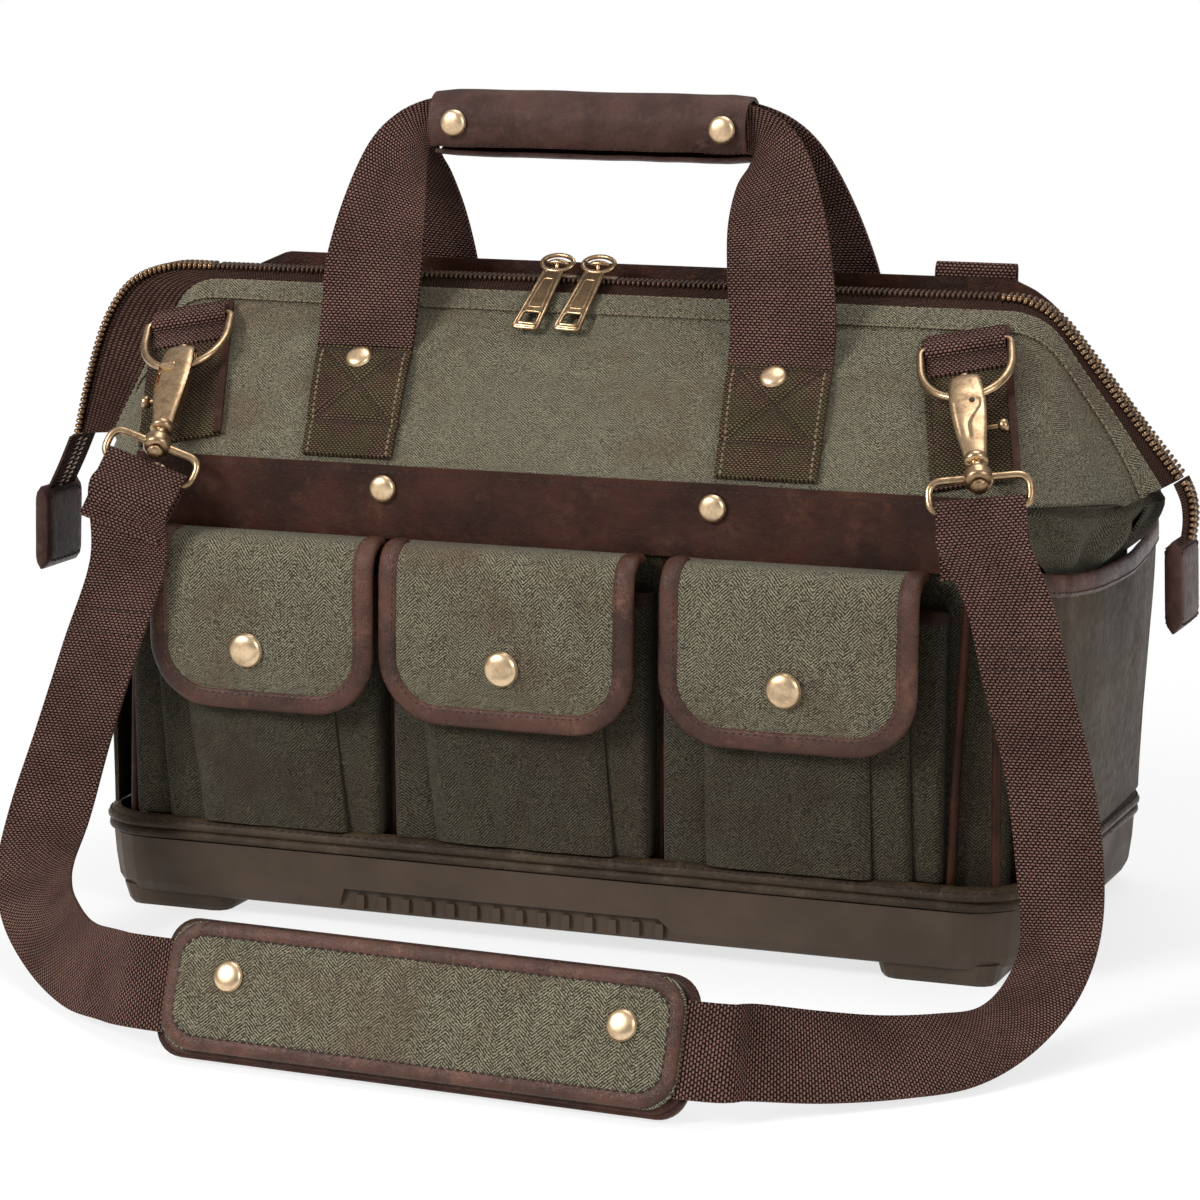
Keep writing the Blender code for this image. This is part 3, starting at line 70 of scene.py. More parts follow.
SLOPE_Y, SLOPE_Z = -FRONT_Y - HEM_Y, HEM_Z - CREASE_Z
SLOPE = math.hypot(SLOPE_Y, SLOPE_Z)
UP = Vector((0.0, SLOPE_Y / SLOPE, SLOPE_Z / SLOPE))
OUT = Vector((0.0, -UP.z, UP.y))
BACK_REACH = (BACK_Y - HEM_Y) / (-FRONT_Y - HEM_Y)


# Mesh helpers
def add_mesh(name, verts, faces, material, uvs=None, sharp=40.0):
    """One smooth-shaded mesh object, its points given in the bag's own sizes."""
    mesh = bpy.data.meshes.new(name)
    points = np.asarray(verts, float) + np.array(SHIFT)
    mesh.from_pydata(points.tolist(), [], faces)
    if uvs is not None:
        corner = np.zeros(len(mesh.loops), np.int32)
        mesh.loops.foreach_get("vertex_index", corner)
        layer = mesh.uv_layers.new(name="UVMap")
        layer.data.foreach_set("uv", np.asarray(uvs, np.float32)[corner].ravel())
    mesh.polygons.foreach_set("use_smooth", [True] * len(mesh.polygons))
    mesh.set_sharp_from_angle(angle=math.radians(sharp))
    mesh.materials.append(material)
    made = bpy.data.objects.new(name, mesh)
    bpy.context.scene.collection.objects.link(made)
    return made


def unit(v):
    length = np.linalg.norm(v, axis=-1, keepdims=True)
    return v / np.maximum(length, 1e-12)


def array_of(line):
    return np.array([tuple(p) for p in line], float)


def run_of(points):
    """The distance run along a line at each of its points."""
    return np.concatenate([[0.0], np.cumsum(np.linalg.norm(np.diff(points, axis=0), axis=1))])


def read_at(s, run, points):
    """The line's point, or its normal, at the distance s along it."""
    return np.array([np.interp(s, run, column) for column in points.T])


def turns(count):
    """Angles once round."""
    return [math.tau * k / count for k in range(count)]


def bulged(value, power):
    """A sine or cosine that makes a squarer round as the power falls."""
    return math.copysign(abs(value) ** power, value)


def ring_faces(count, size, closed=False, caps=True):
    """Faces over rings of points that each go once round."""
    faces = []
    for i in range(count if closed else count - 1):
        j = (i + 1) % count
        for k in range(size):
            m = (k + 1) % size
            faces.append((i * size + k, i * size + m, j * size + m, j * size + k))
    if caps and not closed:
        faces.append(tuple(range(size))[::-1])
        faces.append(tuple((count - 1) * size + k for k in range(size)))
    return faces


class Surface:
    """A sheet on a grid of points, rows up it and columns across it, that trim can be laid on."""

    def __init__(self, grid, thickness, flip=False):
        self.points = np.array([[tuple(p) for p in row] for row in grid], float)
        across = np.gradient(self.points, axis=1)
        up = np.gradient(self.points, axis=0)
        self.normals = unit(np.cross(across, up)) * (-1.0 if flip else 1.0)
        rows, columns = self.points.shape[:2]
        self.thickness = np.broadcast_to(np.asarray(thickness, float), (rows, columns))
        u, v = run_of(self.points[rows // 2]), run_of(self.points[:, columns // 2])
        self.uv = np.stack(np.meshgrid(u, v), axis=-1)

    def at(self, v, u, lift=0.0):
        """The point and normal at shares v up and u across, lift above the sheet's outer face."""
        rows, columns = self.points.shape[:2]
        i, k = v * (rows - 1), u * (columns - 1)
        i0, k0 = min(int(i), rows - 2), min(int(k), columns - 2)
        a, b = i - i0, k - k0
        found = []
        for field in (self.points, self.normals, self.thickness[..., None]):
            low = field[i0, k0] * (1 - b) + field[i0, k0 + 1] * b
            high = field[i0 + 1, k0] * (1 - b) + field[i0 + 1, k0 + 1] * b
            found.append(low * (1 - a) + high * a)
        point, normal, thick = found
        normal = unit(normal)
        return Vector(point + normal * (thick[0] / 2 + lift)), Vector(normal)

    def rows(self, start, end):
        """The part of the sheet between two of its rows."""
        part = Surface.__new__(Surface)
        part.points, part.normals = self.points[start:end], self.normals[start:end]
        part.thickness, part.uv = self.thickness[start:end], self.uv[start:end]
        return part

    def build(self, name, material, sharp=40.0):
        rows, columns = self.points.shape[:2]
        half = self.normals * self.thickness[..., None] / 2
        verts = np.concatenate([(self.points + half).reshape(-1, 3), (self.points - half).reshape(-1, 3)])
        size = rows * columns
        faces = []
        for i in range(rows - 1):
            for k in range(columns - 1):
                a = i * columns + k
                faces.append((a, a + 1, a + columns + 1, a + columns))
                faces.append((size + a, size + a + columns, size + a + columns + 1, size + a + 1))
        edge = list(range(columns)) + [i * columns + columns - 1 for i in range(1, rows)]
        edge += [(rows - 1) * columns + k for k in range(columns - 2, -1, -1)]
        edge += [i * columns for i in range(rows - 2, 0, -1)]
        for a, b in zip(edge, edge[1:] + edge[:1]):
            faces.append((b, a, size + a, size + b))
        uvs = np.concatenate([self.uv.reshape(-1, 2)] * 2)
        return add_mesh(name, verts, faces, material, uvs, sharp)


def sweep(name, path, normals, profile, material, closed=False, sharp=50.0):
    """A closed profile of (sideways, outward) offsets carried along a path that lies on a surface."""
    points, out = array_of(path), unit(array_of(normals))
    if closed:
        along = unit(np.roll(points, -1, 0) - np.roll(points, 1, 0))
    else:
        along = unit(np.gradient(points, axis=0))
    out = unit(out - along * np.sum(out * along, axis=1, keepdims=True))
    side = np.cross(along, out)
    shape = np.array(profile, float)
    verts = points[:, None] + side[:, None] * shape[None, :, :1] + out[:, None] * shape[None, :, 1:]
    uvs = np.stack(np.meshgrid(run_of(shape), run_of(points)), axis=-1).reshape(-1, 2)[:, ::-1]
    return add_mesh(name, verts.reshape(-1, 3), ring_faces(*verts.shape[:2], closed), material, uvs, sharp)


def oval(half_side, half_out, steps=16, power=2.6):
    """A rounded profile for a rolled edge; a higher power makes it squarer."""
    made = []
    for a in turns(steps):
        made.append((bulged(math.cos(a), 2 / power) * half_side, bulged(math.sin(a), 2 / power) * half_out))
    return made


def spline(points, steps):
    """A smooth curve through the points, each span cut into the same number of steps."""
    points = [Vector(p) for p in points]
    ends = [points[0] * 2 - points[1]] + points + [points[-1] * 2 - points[-2]]
    made = []
    for a, b, c, d in zip(ends, ends[1:], ends[2:], ends[3:]):
        bend, twist = 2 * a - 5 * b + 4 * c - d, 3 * b - a - 3 * c + d
        for k in range(steps):
            t = k / steps
            made.append(0.5 * ((2 * b) + (c - a) * t + bend * t * t + twist * t ** 3))
    return made + [points[-1]]


def mix(a, b, t):
    return a + (b - a) * t


def smooth(t):
    t = max(0.0, min(1.0, t))
    return t * t * (3 - 2 * t)


def ripple(point, size, seed=0.0):
    """Soft noise between about -1 and 1 that changes over the given size."""
    return noise.noise(Vector(point) / size + Vector((seed, 2 * seed, -seed)))


def even(points, gap):
    """The line's points, resampled to one about every gap."""
    points = array_of(points)
    run = run_of(points)
    count = max(2, int(round(run[-1] / gap)) + 1)
    return read_at(np.linspace(0.0, run[-1], count), run, points).T


def stitches(name, points, normals, material, pitch=0.0036, long=0.0025, thick=0.00042):
    """A row of thread stitches lying on a surface along a line."""
    points, normals = array_of(points), array_of(normals)
    run = run_of(points)
    count = max(1, int(run[-1] / pitch))
    sides = 6
    verts, faces = [], []
    for n in range(count):
        middle = (n + 0.5) * run[-1] / count
        a, b = (read_at(s, run, points) for s in (middle - long / 2, middle + long / 2))
        out = unit(read_at(middle, run, normals))
        side = np.cross(unit(b - a), out)
        base = len(verts)
        verts.append(tuple(a - out * thick * 0.6))
        for t, swell in ((0.16, 0.8), (0.5, 1.0), (0.84, 0.8)):
            for turn in turns(sides):
                offset = side * math.cos(turn) + out * math.sin(turn) * 0.8
                verts.append(tuple(mix(a, b, t) + offset * thick * swell))
        verts.append(tuple(b - out * thick * 0.6))
        tip = len(verts) - 1
        for k in range(sides):
            m = (k + 1) % sides
            faces.append((base, base + 1 + m, base + 1 + k))
            for low in (base + 1, base + 1 + sides):
                faces.append((low + k, low + m, low + sides + m, low + sides + k))
            faces.append((tip, tip - sides + k, tip - sides + m))
    return add_mesh(name, verts, faces, material, sharp=80.0)


def seam(name, surface, corners, material, lift=0.0, steps=24, **style):
    """Stitches over a surface between (v, u) corners."""
    line = []
    for (v0, u0), (v1, u1) in zip(corners, corners[1:]):
        line += [(mix(v0, v1, k / steps), mix(u0, u1, k / steps)) for k in range(steps)]
    line.append(corners[-1])
    found = [surface.at(v, u, lift) for v, u in line]
    return stitches(name, [p for p, _ in found], [n for _, n in found], material, **style)


def keep(piece, body, slot, *replaced):
    """The piece rides on a body and stands for the nodes it replaces."""
    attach(piece, body)
    if replaced:
        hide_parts(*replaced)
    return piece


# Materials
class Shader:
    """One material's node tree, built with short calls."""

    def __init__(self, name, **settings):
        self.material = bpy.data.materials.new(name)
        self.material.use_nodes = True
        self.tree = self.material.node_tree
        self.surface = self.tree.nodes["Principled BSDF"]
        for key, value in settings.items():
            self.surface.inputs[key.replace("_", " ").title().replace("Ior", "IOR")].default_value = value

    def add(self, kind, inputs=(), **settings):
        node = self.tree.nodes.new(kind)
        for key, value in settings.items():
            setattr(node, key, value)
        for key, value in dict(inputs).items():
            if isinstance(value, bpy.types.NodeSocket):
                self.tree.links.new(value, node.inputs[key])
            else:
                node.inputs[key].default_value = value
        return node

    def math(self, operation, a, b=0.0, c=0.0):
        return self.add("ShaderNodeMath", {0: a, 1: b, 2: c}, operation=operation).outputs[0]

    def place(self):
        """The u and v of the piece's own flat pattern, in metres."""
        uv = self.add("ShaderNodeUVMap", uv_map="UVMap")
        parts = self.add("ShaderNodeSeparateXYZ", {0: uv.outputs[0]})
        return parts.outputs[0], parts.outputs[1]

    def spot(self):
        return self.add("ShaderNodeTexCoord").outputs["Object"]

    def noise(self, scale, detail=2.0, rough=0.5):
        settings = {"Vector": self.spot(), "Scale": scale, "Detail": detail, "Roughness": rough}
        return self.add("ShaderNodeTexNoise", settings).outputs["Fac"]

    def between(self, value, low, high, out_low=0.0, out_high=1.0):
        """The value taken from one range to another, easing at both ends."""
        settings = {"Value": value, "From Min": low, "From Max": high, "To Min": out_low, "To Max": out_high}
        return self.add("ShaderNodeMapRange", settings, interpolation_type="SMOOTHSTEP").outputs[0]

    def tint(self, share, a, b):
        node = self.add("ShaderNodeMix", data_type="RGBA")
        for socket, value in ((node.inputs[0], share), (node.inputs[6], a), (node.inputs[7], b)):
            if isinstance(value, bpy.types.NodeSocket):
                self.tree.links.new(value, socket)
            else:
                socket.default_value = (*value, 1.0) if hasattr(value, "__len__") else value
        return node.outputs[2]

    def use(self, **sockets):
        for key, value in sockets.items():
            self.tree.links.new(value, self.surface.inputs[key.replace("_", " ")])

    def bump(self, height, distance, strength=1.0, under=None):
        node = self.add("ShaderNodeBump", {"Height": height, "Distance": distance, "Strength": strength})
        if under is not None:
            self.tree.links.new(under, node.inputs["Normal"])
        return node.outputs[0]


def canvas_material(name, light, dark, brown):
    """Waxed twill: fine diagonal lines, a rubbed nap and brownish worn places."""
    s = Shader(name, roughness=0.78, specular_ior_level=0.16)
    s.surface.inputs["Sheen Weight"].default_value = 0.05
    s.surface.inputs["Sheen Roughness"].default_value = 0.5
    u, v = s.place()
    sway = s.math("MULTIPLY", s.noise(190.0, 2.0), 0.0014)
    lean = s.math("PINGPONG", s.math("ADD", u, sway), 0.0075)
    phase = s.math("MULTIPLY_ADD", v, 1.1, lean)
    line = s.math("SINE", s.math("MULTIPLY", phase, math.tau / TWILL))
    speck = s.noise(1350.0, 3.0, 0.8)
    blotch = s.noise(34.0, 5.0, 0.62)
    cloud = s.noise(11.0, 3.0, 0.55)
    nap = s.between(s.math("MULTIPLY_ADD", line, 0.095, speck), 0.44, 0.62)
    cloth = s.tint(nap, dark, light)
    worn = s.between(s.math("MULTIPLY_ADD", cloud, 0.55, s.math("MULTIPLY", blotch, 0.5)), 0.5, 0.7)
    share = s.math("MULTIPLY", worn, 0.7)
    cloth = s.tint(share, cloth, s.tint(nap, tuple(c * 0.45 for c in brown), tuple(c * 1.6 for c in brown)))
    rubbed = s.between(s.noise(60.0, 6.0, 0.7), 0.5, 0.78, 0.0, 0.35)
    cloth = s.tint(s.math("MULTIPLY", rubbed, nap), cloth, tuple(min(1.0, c * 1.5) for c in light))
    s.use(Base_Color=cloth, Roughness=s.between(blotch, 0.3, 0.7, 0.66, 0.86))
    height = s.math("MULTIPLY_ADD", line, 0.22, s.math("MULTIPLY", speck, 1.5))
    soft = s.bump(s.noise(75.0, 3.0, 0.6), 0.0012, 0.6)
    s.use(Normal=s.bump(height, 0.0005, 0.7, soft))
    return s.material


def webbing_material(name, low, high, across=0.0021, along=0.0013, green=None):
    """Coarse basket weave: each thread rises over its neighbours, with painted shade in the gaps between and
    a painted highlight on each thread's top.
    """
    s = Shader(name, roughness=0.85, specular_ior_level=0.08)
    u, v = s.place()
    wobble = s.math("MULTIPLY", s.noise(520.0, 2.0), 0.0007)
    row = s.math("DIVIDE", s.math("ADD", v, wobble), along)
    step = s.math("MULTIPLY", s.math("PINGPONG", s.math("FLOOR", row), 1.0), 0.5)
    column = s.math("ADD", s.math("DIVIDE", s.math("ADD", u, wobble), across), step)
    fu = s.math("SINE", s.math("MULTIPLY", s.math("FRACT", column), math.pi))
    fv = s.math("SINE", s.math("MULTIPLY", s.math("FRACT", row), math.pi))
    height = s.math("MULTIPLY", s.math("POWER", fu, 0.7), s.math("POWER", fv, 0.8))
    fuzz = s.noise(1500.0, 3.0, 0.75)
    shade = s.between(s.math("MULTIPLY_ADD", fuzz, 0.8, height), 0.62, 1.4)
    shade = s.math("MULTIPLY", shade, s.between(s.noise(38.0, 4.0), 0.25, 0.75, 0.7, 1.15))
    # Painted shade in the gaps and a painted highlight on the thread tops, set by each thread's height
    cloth = s.tint(shade, low, high)
    if green:
        tint = s.tint(shade, tuple(c * 0.12 for c in green), green)
        cloth = s.tint(s.between(s.noise(55.0, 4.0, 0.6), 0.36, 0.6, 0.1, 0.85), cloth, tint)
    s.use(Base_Color=cloth)
    s.use(Normal=s.bump(s.math("MULTIPLY_ADD", fuzz, 0.35, height), 0.0009, 0.9))
    return s.material


def leather_material(name, base, dark, light, rough=(0.36, 0.54), grain=1500.0, gloss=0.17):
    """Oiled leather: pebbled grain, darker creases and rubbed highlights."""
    s = Shader(name, roughness=0.42, specular_ior_level=gloss)
    cells = s.add("ShaderNodeTexVoronoi", {"Vector": s.spot(), "Scale": grain}, feature="DISTANCE_TO_EDGE")
    creases = s.noise(210.0, 5.0, 0.65)
    cloud = s.noise(30.0, 5.0, 0.65)
    skin = s.tint(s.between(cloud, 0.34, 0.66), dark, base)
    skin = s.tint(s.between(s.noise(85.0, 6.0, 0.75), 0.5, 0.76, 0.0, 0.6), skin, light)
    skin = s.tint(s.between(s.noise(640.0, 3.0, 0.7), 0.45, 0.75, 0.0, 0.35), skin, dark)
    s.use(Base_Color=skin, Roughness=s.between(creases, 0.3, 0.7, *rough))
    fine = s.bump(s.between(cells.outputs[0], 0.0, 0.22), 0.00014, 0.6)
    s.use(Normal=s.bump(creases, 0.0011, 0.7, fine))
    return s.material


def brass_material(name, base, dark, rough=(0.2, 0.38)):
    """Tumbled brass with a brown bloom in its hollows."""
    s = Shader(name, metallic=1.0, roughness=0.3)
    cloud = s.noise(90.0, 5.0, 0.65)
    fine = s.noise(700.0, 4.0, 0.6)
    share = s.between(s.math("MULTIPLY_ADD", fine, 0.35, s.math("MULTIPLY", cloud, 0.7)), 0.4, 0.7)
    s.use(Base_Color=s.tint(share, base, dark), Roughness=s.between(cloud, 0.3, 0.7, *rough))
    s.use(Normal=s.bump(s.noise(160.0, 2.0, 0.4), 0.0001, 0.08))
    return s.material


def moulded_material(name, base, light):
    """Matte moulding with a fine spark-eroded texture."""
    s = Shader(name, roughness=0.5, specular_ior_level=0.26)
    cloud = s.noise(22.0, 4.0, 0.6)
    s.use(Base_Color=s.tint(s.between(cloud, 0.3, 0.75), base, light))
    s.use(Roughness=s.between(s.noise(60.0, 4.0), 0.3, 0.7, 0.44, 0.6))
    s.use(Normal=s.bump(s.noise(1400.0, 2.0), 0.00016, 0.4))
    return s.material


def plain_material(name, base, rough, metal=0.0):
    """One colour, a little darker in soft patches."""
    s = Shader(name, roughness=rough, metallic=metal)
    s.use(Base_Color=s.tint(s.between(s.noise(120.0, 4.0), 0.3, 0.7), base, tuple(c * 0.65 for c in base)))
    return s.material


OLIVE = canvas_material("olive_canvas", (0.262, 0.236, 0.158), (0.02, 0.017, 0.01), (0.105, 0.07, 0.045))
# The canvas made darker: painted shade for the pockets and the body wall under the flaps
SHADE = canvas_material(
    "pocket_canvas_painted_shade", (0.088, 0.075, 0.045), (0.007, 0.0055, 0.0035), (0.036, 0.023, 0.015)
)
# The canvas made darker: painted shade for the gusset folds
FOLD = canvas_material("fold_canvas_painted_shade", (0.13, 0.114, 0.074), (0.012, 0.01, 0.006), (0.07, 0.047, 0.03))
SIDE = leather_material(
    "waxed_side", (0.066, 0.047, 0.031), (0.043, 0.03, 0.019), (0.108, 0.081, 0.058),
    rough=(0.46, 0.62), grain=700.0, gloss=0.12,
)
BAND = leather_material(
    "band_leather", (0.046, 0.0135, 0.006), (0.018, 0.005, 0.0024), (0.1, 0.038, 0.019), (0.28, 0.44)
)
BINDING = leather_material(
    "binding_leather", (0.088, 0.035, 0.0215), (0.036, 0.0135, 0.008), (0.215, 0.1, 0.064),
    rough=(0.25, 0.42), gloss=0.3,
)
GRIP = leather_material(
    "grip_leather", (0.078, 0.036, 0.027), (0.034, 0.015, 0.011), (0.125, 0.062, 0.047), (0.3, 0.45)
)
WELT = leather_material(
    "welt_leather", (0.056, 0.036, 0.02), (0.026, 0.016, 0.009), (0.12, 0.082, 0.05), (0.26, 0.42)
)
WEBBING = webbing_material("webbing", (0.007, 0.003, 0.0022), (0.225, 0.121, 0.096))
GREENED = webbing_material(
    "webbing_greened", (0.01, 0.005, 0.003), (0.18, 0.1, 0.072), green=(0.15, 0.12, 0.06)
)
TAPE = webbing_material("zip_tape", (0.012, 0.005, 0.004), (0.11, 0.058, 0.042), 0.0014, 0.0012)
THREAD = plain_material("thread", (0.02, 0.008, 0.005), 0.75)
THREAD_OLIVE = plain_material("thread_olive", (0.215, 0.16, 0.092), 0.8)
# A darker copy of the tooth bronze: painted shade for the teeth along the top, between the hems
TEETH = plain_material("zip_teeth_painted_shade", (0.1, 0.054, 0.034), 0.3, 0.55)
BRASS = brass_material("aged_brass", (0.56, 0.385, 0.225), (0.235, 0.15, 0.084), (0.24, 0.38))
CAP = brass_material("cap_brass", (0.87, 0.65, 0.41), (0.54, 0.375, 0.225), (0.3, 0.42))
PULL = brass_material("pull_brass", (0.36, 0.245, 0.14), (0.17, 0.108, 0.06), (0.28, 0.44))
# Near black: painted shade inside the hook's worn hole
GAPS = plain_material("painted_hole_shade", (0.02, 0.014, 0.009), 0.6)
BRONZE = brass_material("tooth_bronze", (0.3, 0.19, 0.11), (0.11, 0.066, 0.038), (0.22, 0.4))
MOULDED = moulded_material("moulded_base", (0.047, 0.03, 0.0185), (0.068, 0.045, 0.03))
LINING = plain_material("lining", (0.1, 0.09, 0.068), 0.85)


def paint(node, material):
    """Gives a solid that is shown as it is its material."""
    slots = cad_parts[node].data.materials
    slots.clear()
    slots.append(material)


def sew(name, surface, corners, body, slot, thread=THREAD, **style):
    """Stitches over a surface between (v, u) corners, moving with its body."""
    return keep(seam(name, surface, corners, thread, **style), body, slot)


paint("base_tray", MOULDED)
paint("base_board", LINING)


# Base welt, piping and body wall
def perimeter(half_x, half_y, radius, middle_y, gap):
    """Points and outward normals round a rounded rectangle, starting in the middle of its back."""
    points, normals = [], []
    corners = ((-1, 1, 90), (-1, -1, 180), (1, -1, 270), (1, 1, 0))
    last = Vector((0.0, middle_y + half_y, 0.0))
    line = [(last, Vector((0.0, 1.0, 0.0)))]
    for sx, sy, start in corners:
        cx, cy = sx * (half_x - radius), middle_y + sy * (half_y - radius)
        for k in range(13):
            a = math.radians(start + 90.0 * k / 12)
            out = Vector((math.cos(a), math.sin(a), 0.0))
            line.append((Vector((cx, cy, 0.0)) + out * radius, out))
    line.append((last, Vector((0.0, 1.0, 0.0))))
    for (p, n), (q, m) in zip(line, line[1:]):
        steps = max(1, int(round((q - p).length / gap)))
        for k in range(steps):
            points.append(mix(p, q, k / steps))
            normals.append(mix(n, m, k / steps).normalized())
    return points, normals


WELT_OUT, WELT_WIDE = 0.0015, 0.0055
WELT_FACE = (
    (0.0003, -0.0022), (0.001, -0.0006), (0.002, 0.0), (0.0036, -0.0002), (0.0045, -0.0013),
    (0.0048, -0.0016), (0.0052, -0.001), (0.0062, 0.0004), (0.0076, 0.0006), (0.009, -0.0004),
    (0.0103, -0.002), (0.011, -0.0038), (0.0112, -WELT_WIDE), (0.0003, -WELT_WIDE),
)


def make_welt():
    """The stitched leather welt over the tray's rim."""
    points, normals = perimeter(TRAY_HALF[0] + WELT_OUT, TRAY_HALF[1] + WELT_OUT, TRAY_CORNER, 0.0, 0.004)
    sag = [Vector((p.x, p.y, TRAY_TOP + 0.0002 * ripple(p, 0.03))) for p in points]
    profile = [(-rise, out) for rise, out in WELT_FACE]
    welt = sweep("base_welt_look", sag, normals, profile, WELT, closed=True)
    keep(welt, "body", "leather", "base_welt")
    line = [p + Vector((0.0, 0.0, 0.0094)) - n * 0.0006 for p, n in zip(sag, normals)]
    tops = [(n + Vector((0.0, 0.0, 0.5))).normalized() for n in normals]
    row = stitches("welt_stitches", line + line[:1], tops + tops[:1], THREAD, 0.0042, 0.003, 0.0005)
    keep(row, "body", "leather")


def make_piping():
    """The leather pipings that stand at the body's front corners and beside the pockets."""
    lines = (
        ("left", [(-0.2075, -0.1085, 0.044), (-0.2055, -0.1085, 0.11), (-0.203, -0.1085, 0.181)]),
        ("right_inner", [(0.1925, -0.1085, 0.044), (0.195, -0.1085, 0.11), (0.199, -0.1085, 0.181)]),
        ("right_outer", [(0.2125, -0.107, 0.044), (0.212, -0.107, 0.11), (0.212, -0.106, 0.181)]),
        ("middle_left", [(-0.0745, -0.1068, 0.044), (-0.0745, -0.1068, 0.181)]),
        ("middle_right", [(0.0568, -0.1068, 0.044), (0.0568, -0.1068, 0.181)]),
    )
    for name, line in lines:
        path = even(spline(line, 8), 0.004)
        normals = [(0.0, -1.0, 0.0)] * len(path)
        slim = 0.0012 if name.startswith("middle") else 0.0021
        piece = sweep("piping_" + name, path, normals, oval(slim, slim * 1.1, steps=12, power=2.0), BAND)
        keep(piece, "body", "leather")


BODY_ROWS, BODY_FLOOR = 44, 0.0126


def make_body():
    """The canvas wall round the bag, open at the top, with its inside face and its floor."""
    points, normals = perimeter(SIDE_X, BODY_HALF, SHELL_CORNER, BODY_MIDDLE, 0.005)
    low, high = TRAY_FLOOR + GAP + 0.006, CREASE_Z - 0.0015
    grid = []
    for i in range(BODY_ROWS):
        z = mix(low, high, i / (BODY_ROWS - 1))
        row = []
        for p, n in zip(points + points[:1], normals + normals[:1]):
            free = smooth((z - 0.07) / 0.08) * smooth((high - z) / 0.02 + 0.35)
            push = -0.0011 + free * 0.0009 * ripple((p.x, p.y, z * 1.6), 0.045, 3.0)
            row.append(Vector((p.x, p.y, z)) + n * push)
        grid.append(row)
    # The wall wears the darker canvas: painted shade
    keep(Surface(grid, CANVAS).build("body_wall", SHADE), "body", "canvas", "body_shell")
    floor = []
    for t in np.linspace(0.0, 1.0, 9):
        y = BODY_MIDDLE + (BODY_HALF - 0.003) * (2 * t - 1)
        reach = SIDE_X - 0.003 - 0.006 * abs(2 * t - 1) ** 6
        floor.append([Vector((mix(-reach, reach, s), y, BODY_FLOOR)) for s in np.linspace(0, 1, 17)])
    keep(Surface(floor, 0.002).build("body_floor", LINING), "body", "canvas")


# Front pockets: a proud face between pleats that step back to the body
POCKET_TOP = 0.166
POCKETS = (
    ("left", -0.205, -0.078, ((-0.1657, -0.1731), (-0.1852, -0.1887)), ((-0.0944, -0.1002),)),
    ("middle", -0.0705, 0.053, ((-0.048, -0.0539),), ((0.0367, 0.0323),)),
    ("right", 0.0605, 0.189, ((0.0825, 0.0813),), ((0.158, 0.1568), (0.1757, 0.174))),
)
PLEAT_LOW, PLEAT_HIGH = 0.047, 0.1
POCKET_FACE = -0.119
POCKET_STEP = 0.0036


def pocket_profile(x0, x1, left, right, z):
    """The pocket's line across the bag at one height, from the body out over the pleats and back."""
    t = (z - PLEAT_LOW) / (PLEAT_HIGH - PLEAT_LOW)
    bulge = 0.0035 * math.sin(math.pi * max(0.0, min(1.0, (z - WELT_TOP) / 0.12))) ** 0.8
    line = [(x0 + 0.0006, FRONT_Y - 0.0006)]

    def side(edge, pleats, sign):
        """Steps from the outer edge towards the face; sign is +1 from the left."""
        found = []
        start = edge + sign * 0.0006
        count = len(pleats)
        for n, (low, high) in enumerate(reversed(pleats)):
            depth = POCKET_FACE + POCKET_STEP * (count - n) - bulge * 0.35
            x = mix(low, high, t)
            found.append([(start + sign * 0.0002, depth + 0.0016), (start + sign * 0.0012, depth + 0.0002)])
            found[-1].append((start + sign * 0.0028, depth - 0.0002))
            for share in (0.3, 0.55, 0.8):
                found[-1].append((mix(start + sign * 0.0028, x - sign * 0.0012, share), depth + 0.0003))
            found[-1] += [(x - sign * 0.001, depth + 0.0007), (x + sign * 0.0003, depth + 0.0014)]
            start = x
        return [p for group in found for p in group], start

    first, a = side(x0, left, 1)
    last, b = side(x1, right, -1)
    face = []
    for k in range(25):
        s = k / 24
        x = mix(a + 0.0001, b - 0.0001, s)
        round_edge = 0.0013 * (max(0.0, 1 - s / 0.045) ** 2 + max(0.0, 1 - (1 - s) / 0.045) ** 2)
        y = POCKET_FACE - bulge * (1 - abs(2 * s - 1) ** 2.2) + round_edge
        y += 0.0007 * ripple((x, 0.0, z), 0.028, 5.0) + 0.0009 * ripple((x * 3.0, 0.0, z), 0.03, 8.0)
        face.append((x, y))
    line += first + face + last[::-1]
    line.append((x1 - 0.0006, FRONT_Y - 0.0006))
    return [Vector((x, y, z)) for x, y in line]


def make_pockets():
    for name, x0, x1, left, right in POCKETS:
        heights = np.linspace(WELT_TOP + GAP, POCKET_TOP, 46)
        grid = [pocket_profile(x0, x1, left, right, z) for z in heights]
        pocket = Surface(grid, 0.0016)
        # The pockets wear the darker canvas: painted shade from the flaps above
        keep(pocket.build("pocket_%s_look" % name, SHADE, 55.0), "body", "canvas", "pocket_" + name)
        top = pocket_profile(x0, x1, left, right, POCKET_TOP - 0.0022)
        path = even(top[1:-1], 0.003)
        normals = [(0.0, -1.0, 0.0)] * len(path)
        edge = sweep("pocket_%s_edge" % name, path, normals, oval(0.0034, 0.0017, steps=12), BAND)
        keep(edge, "body", "leather")


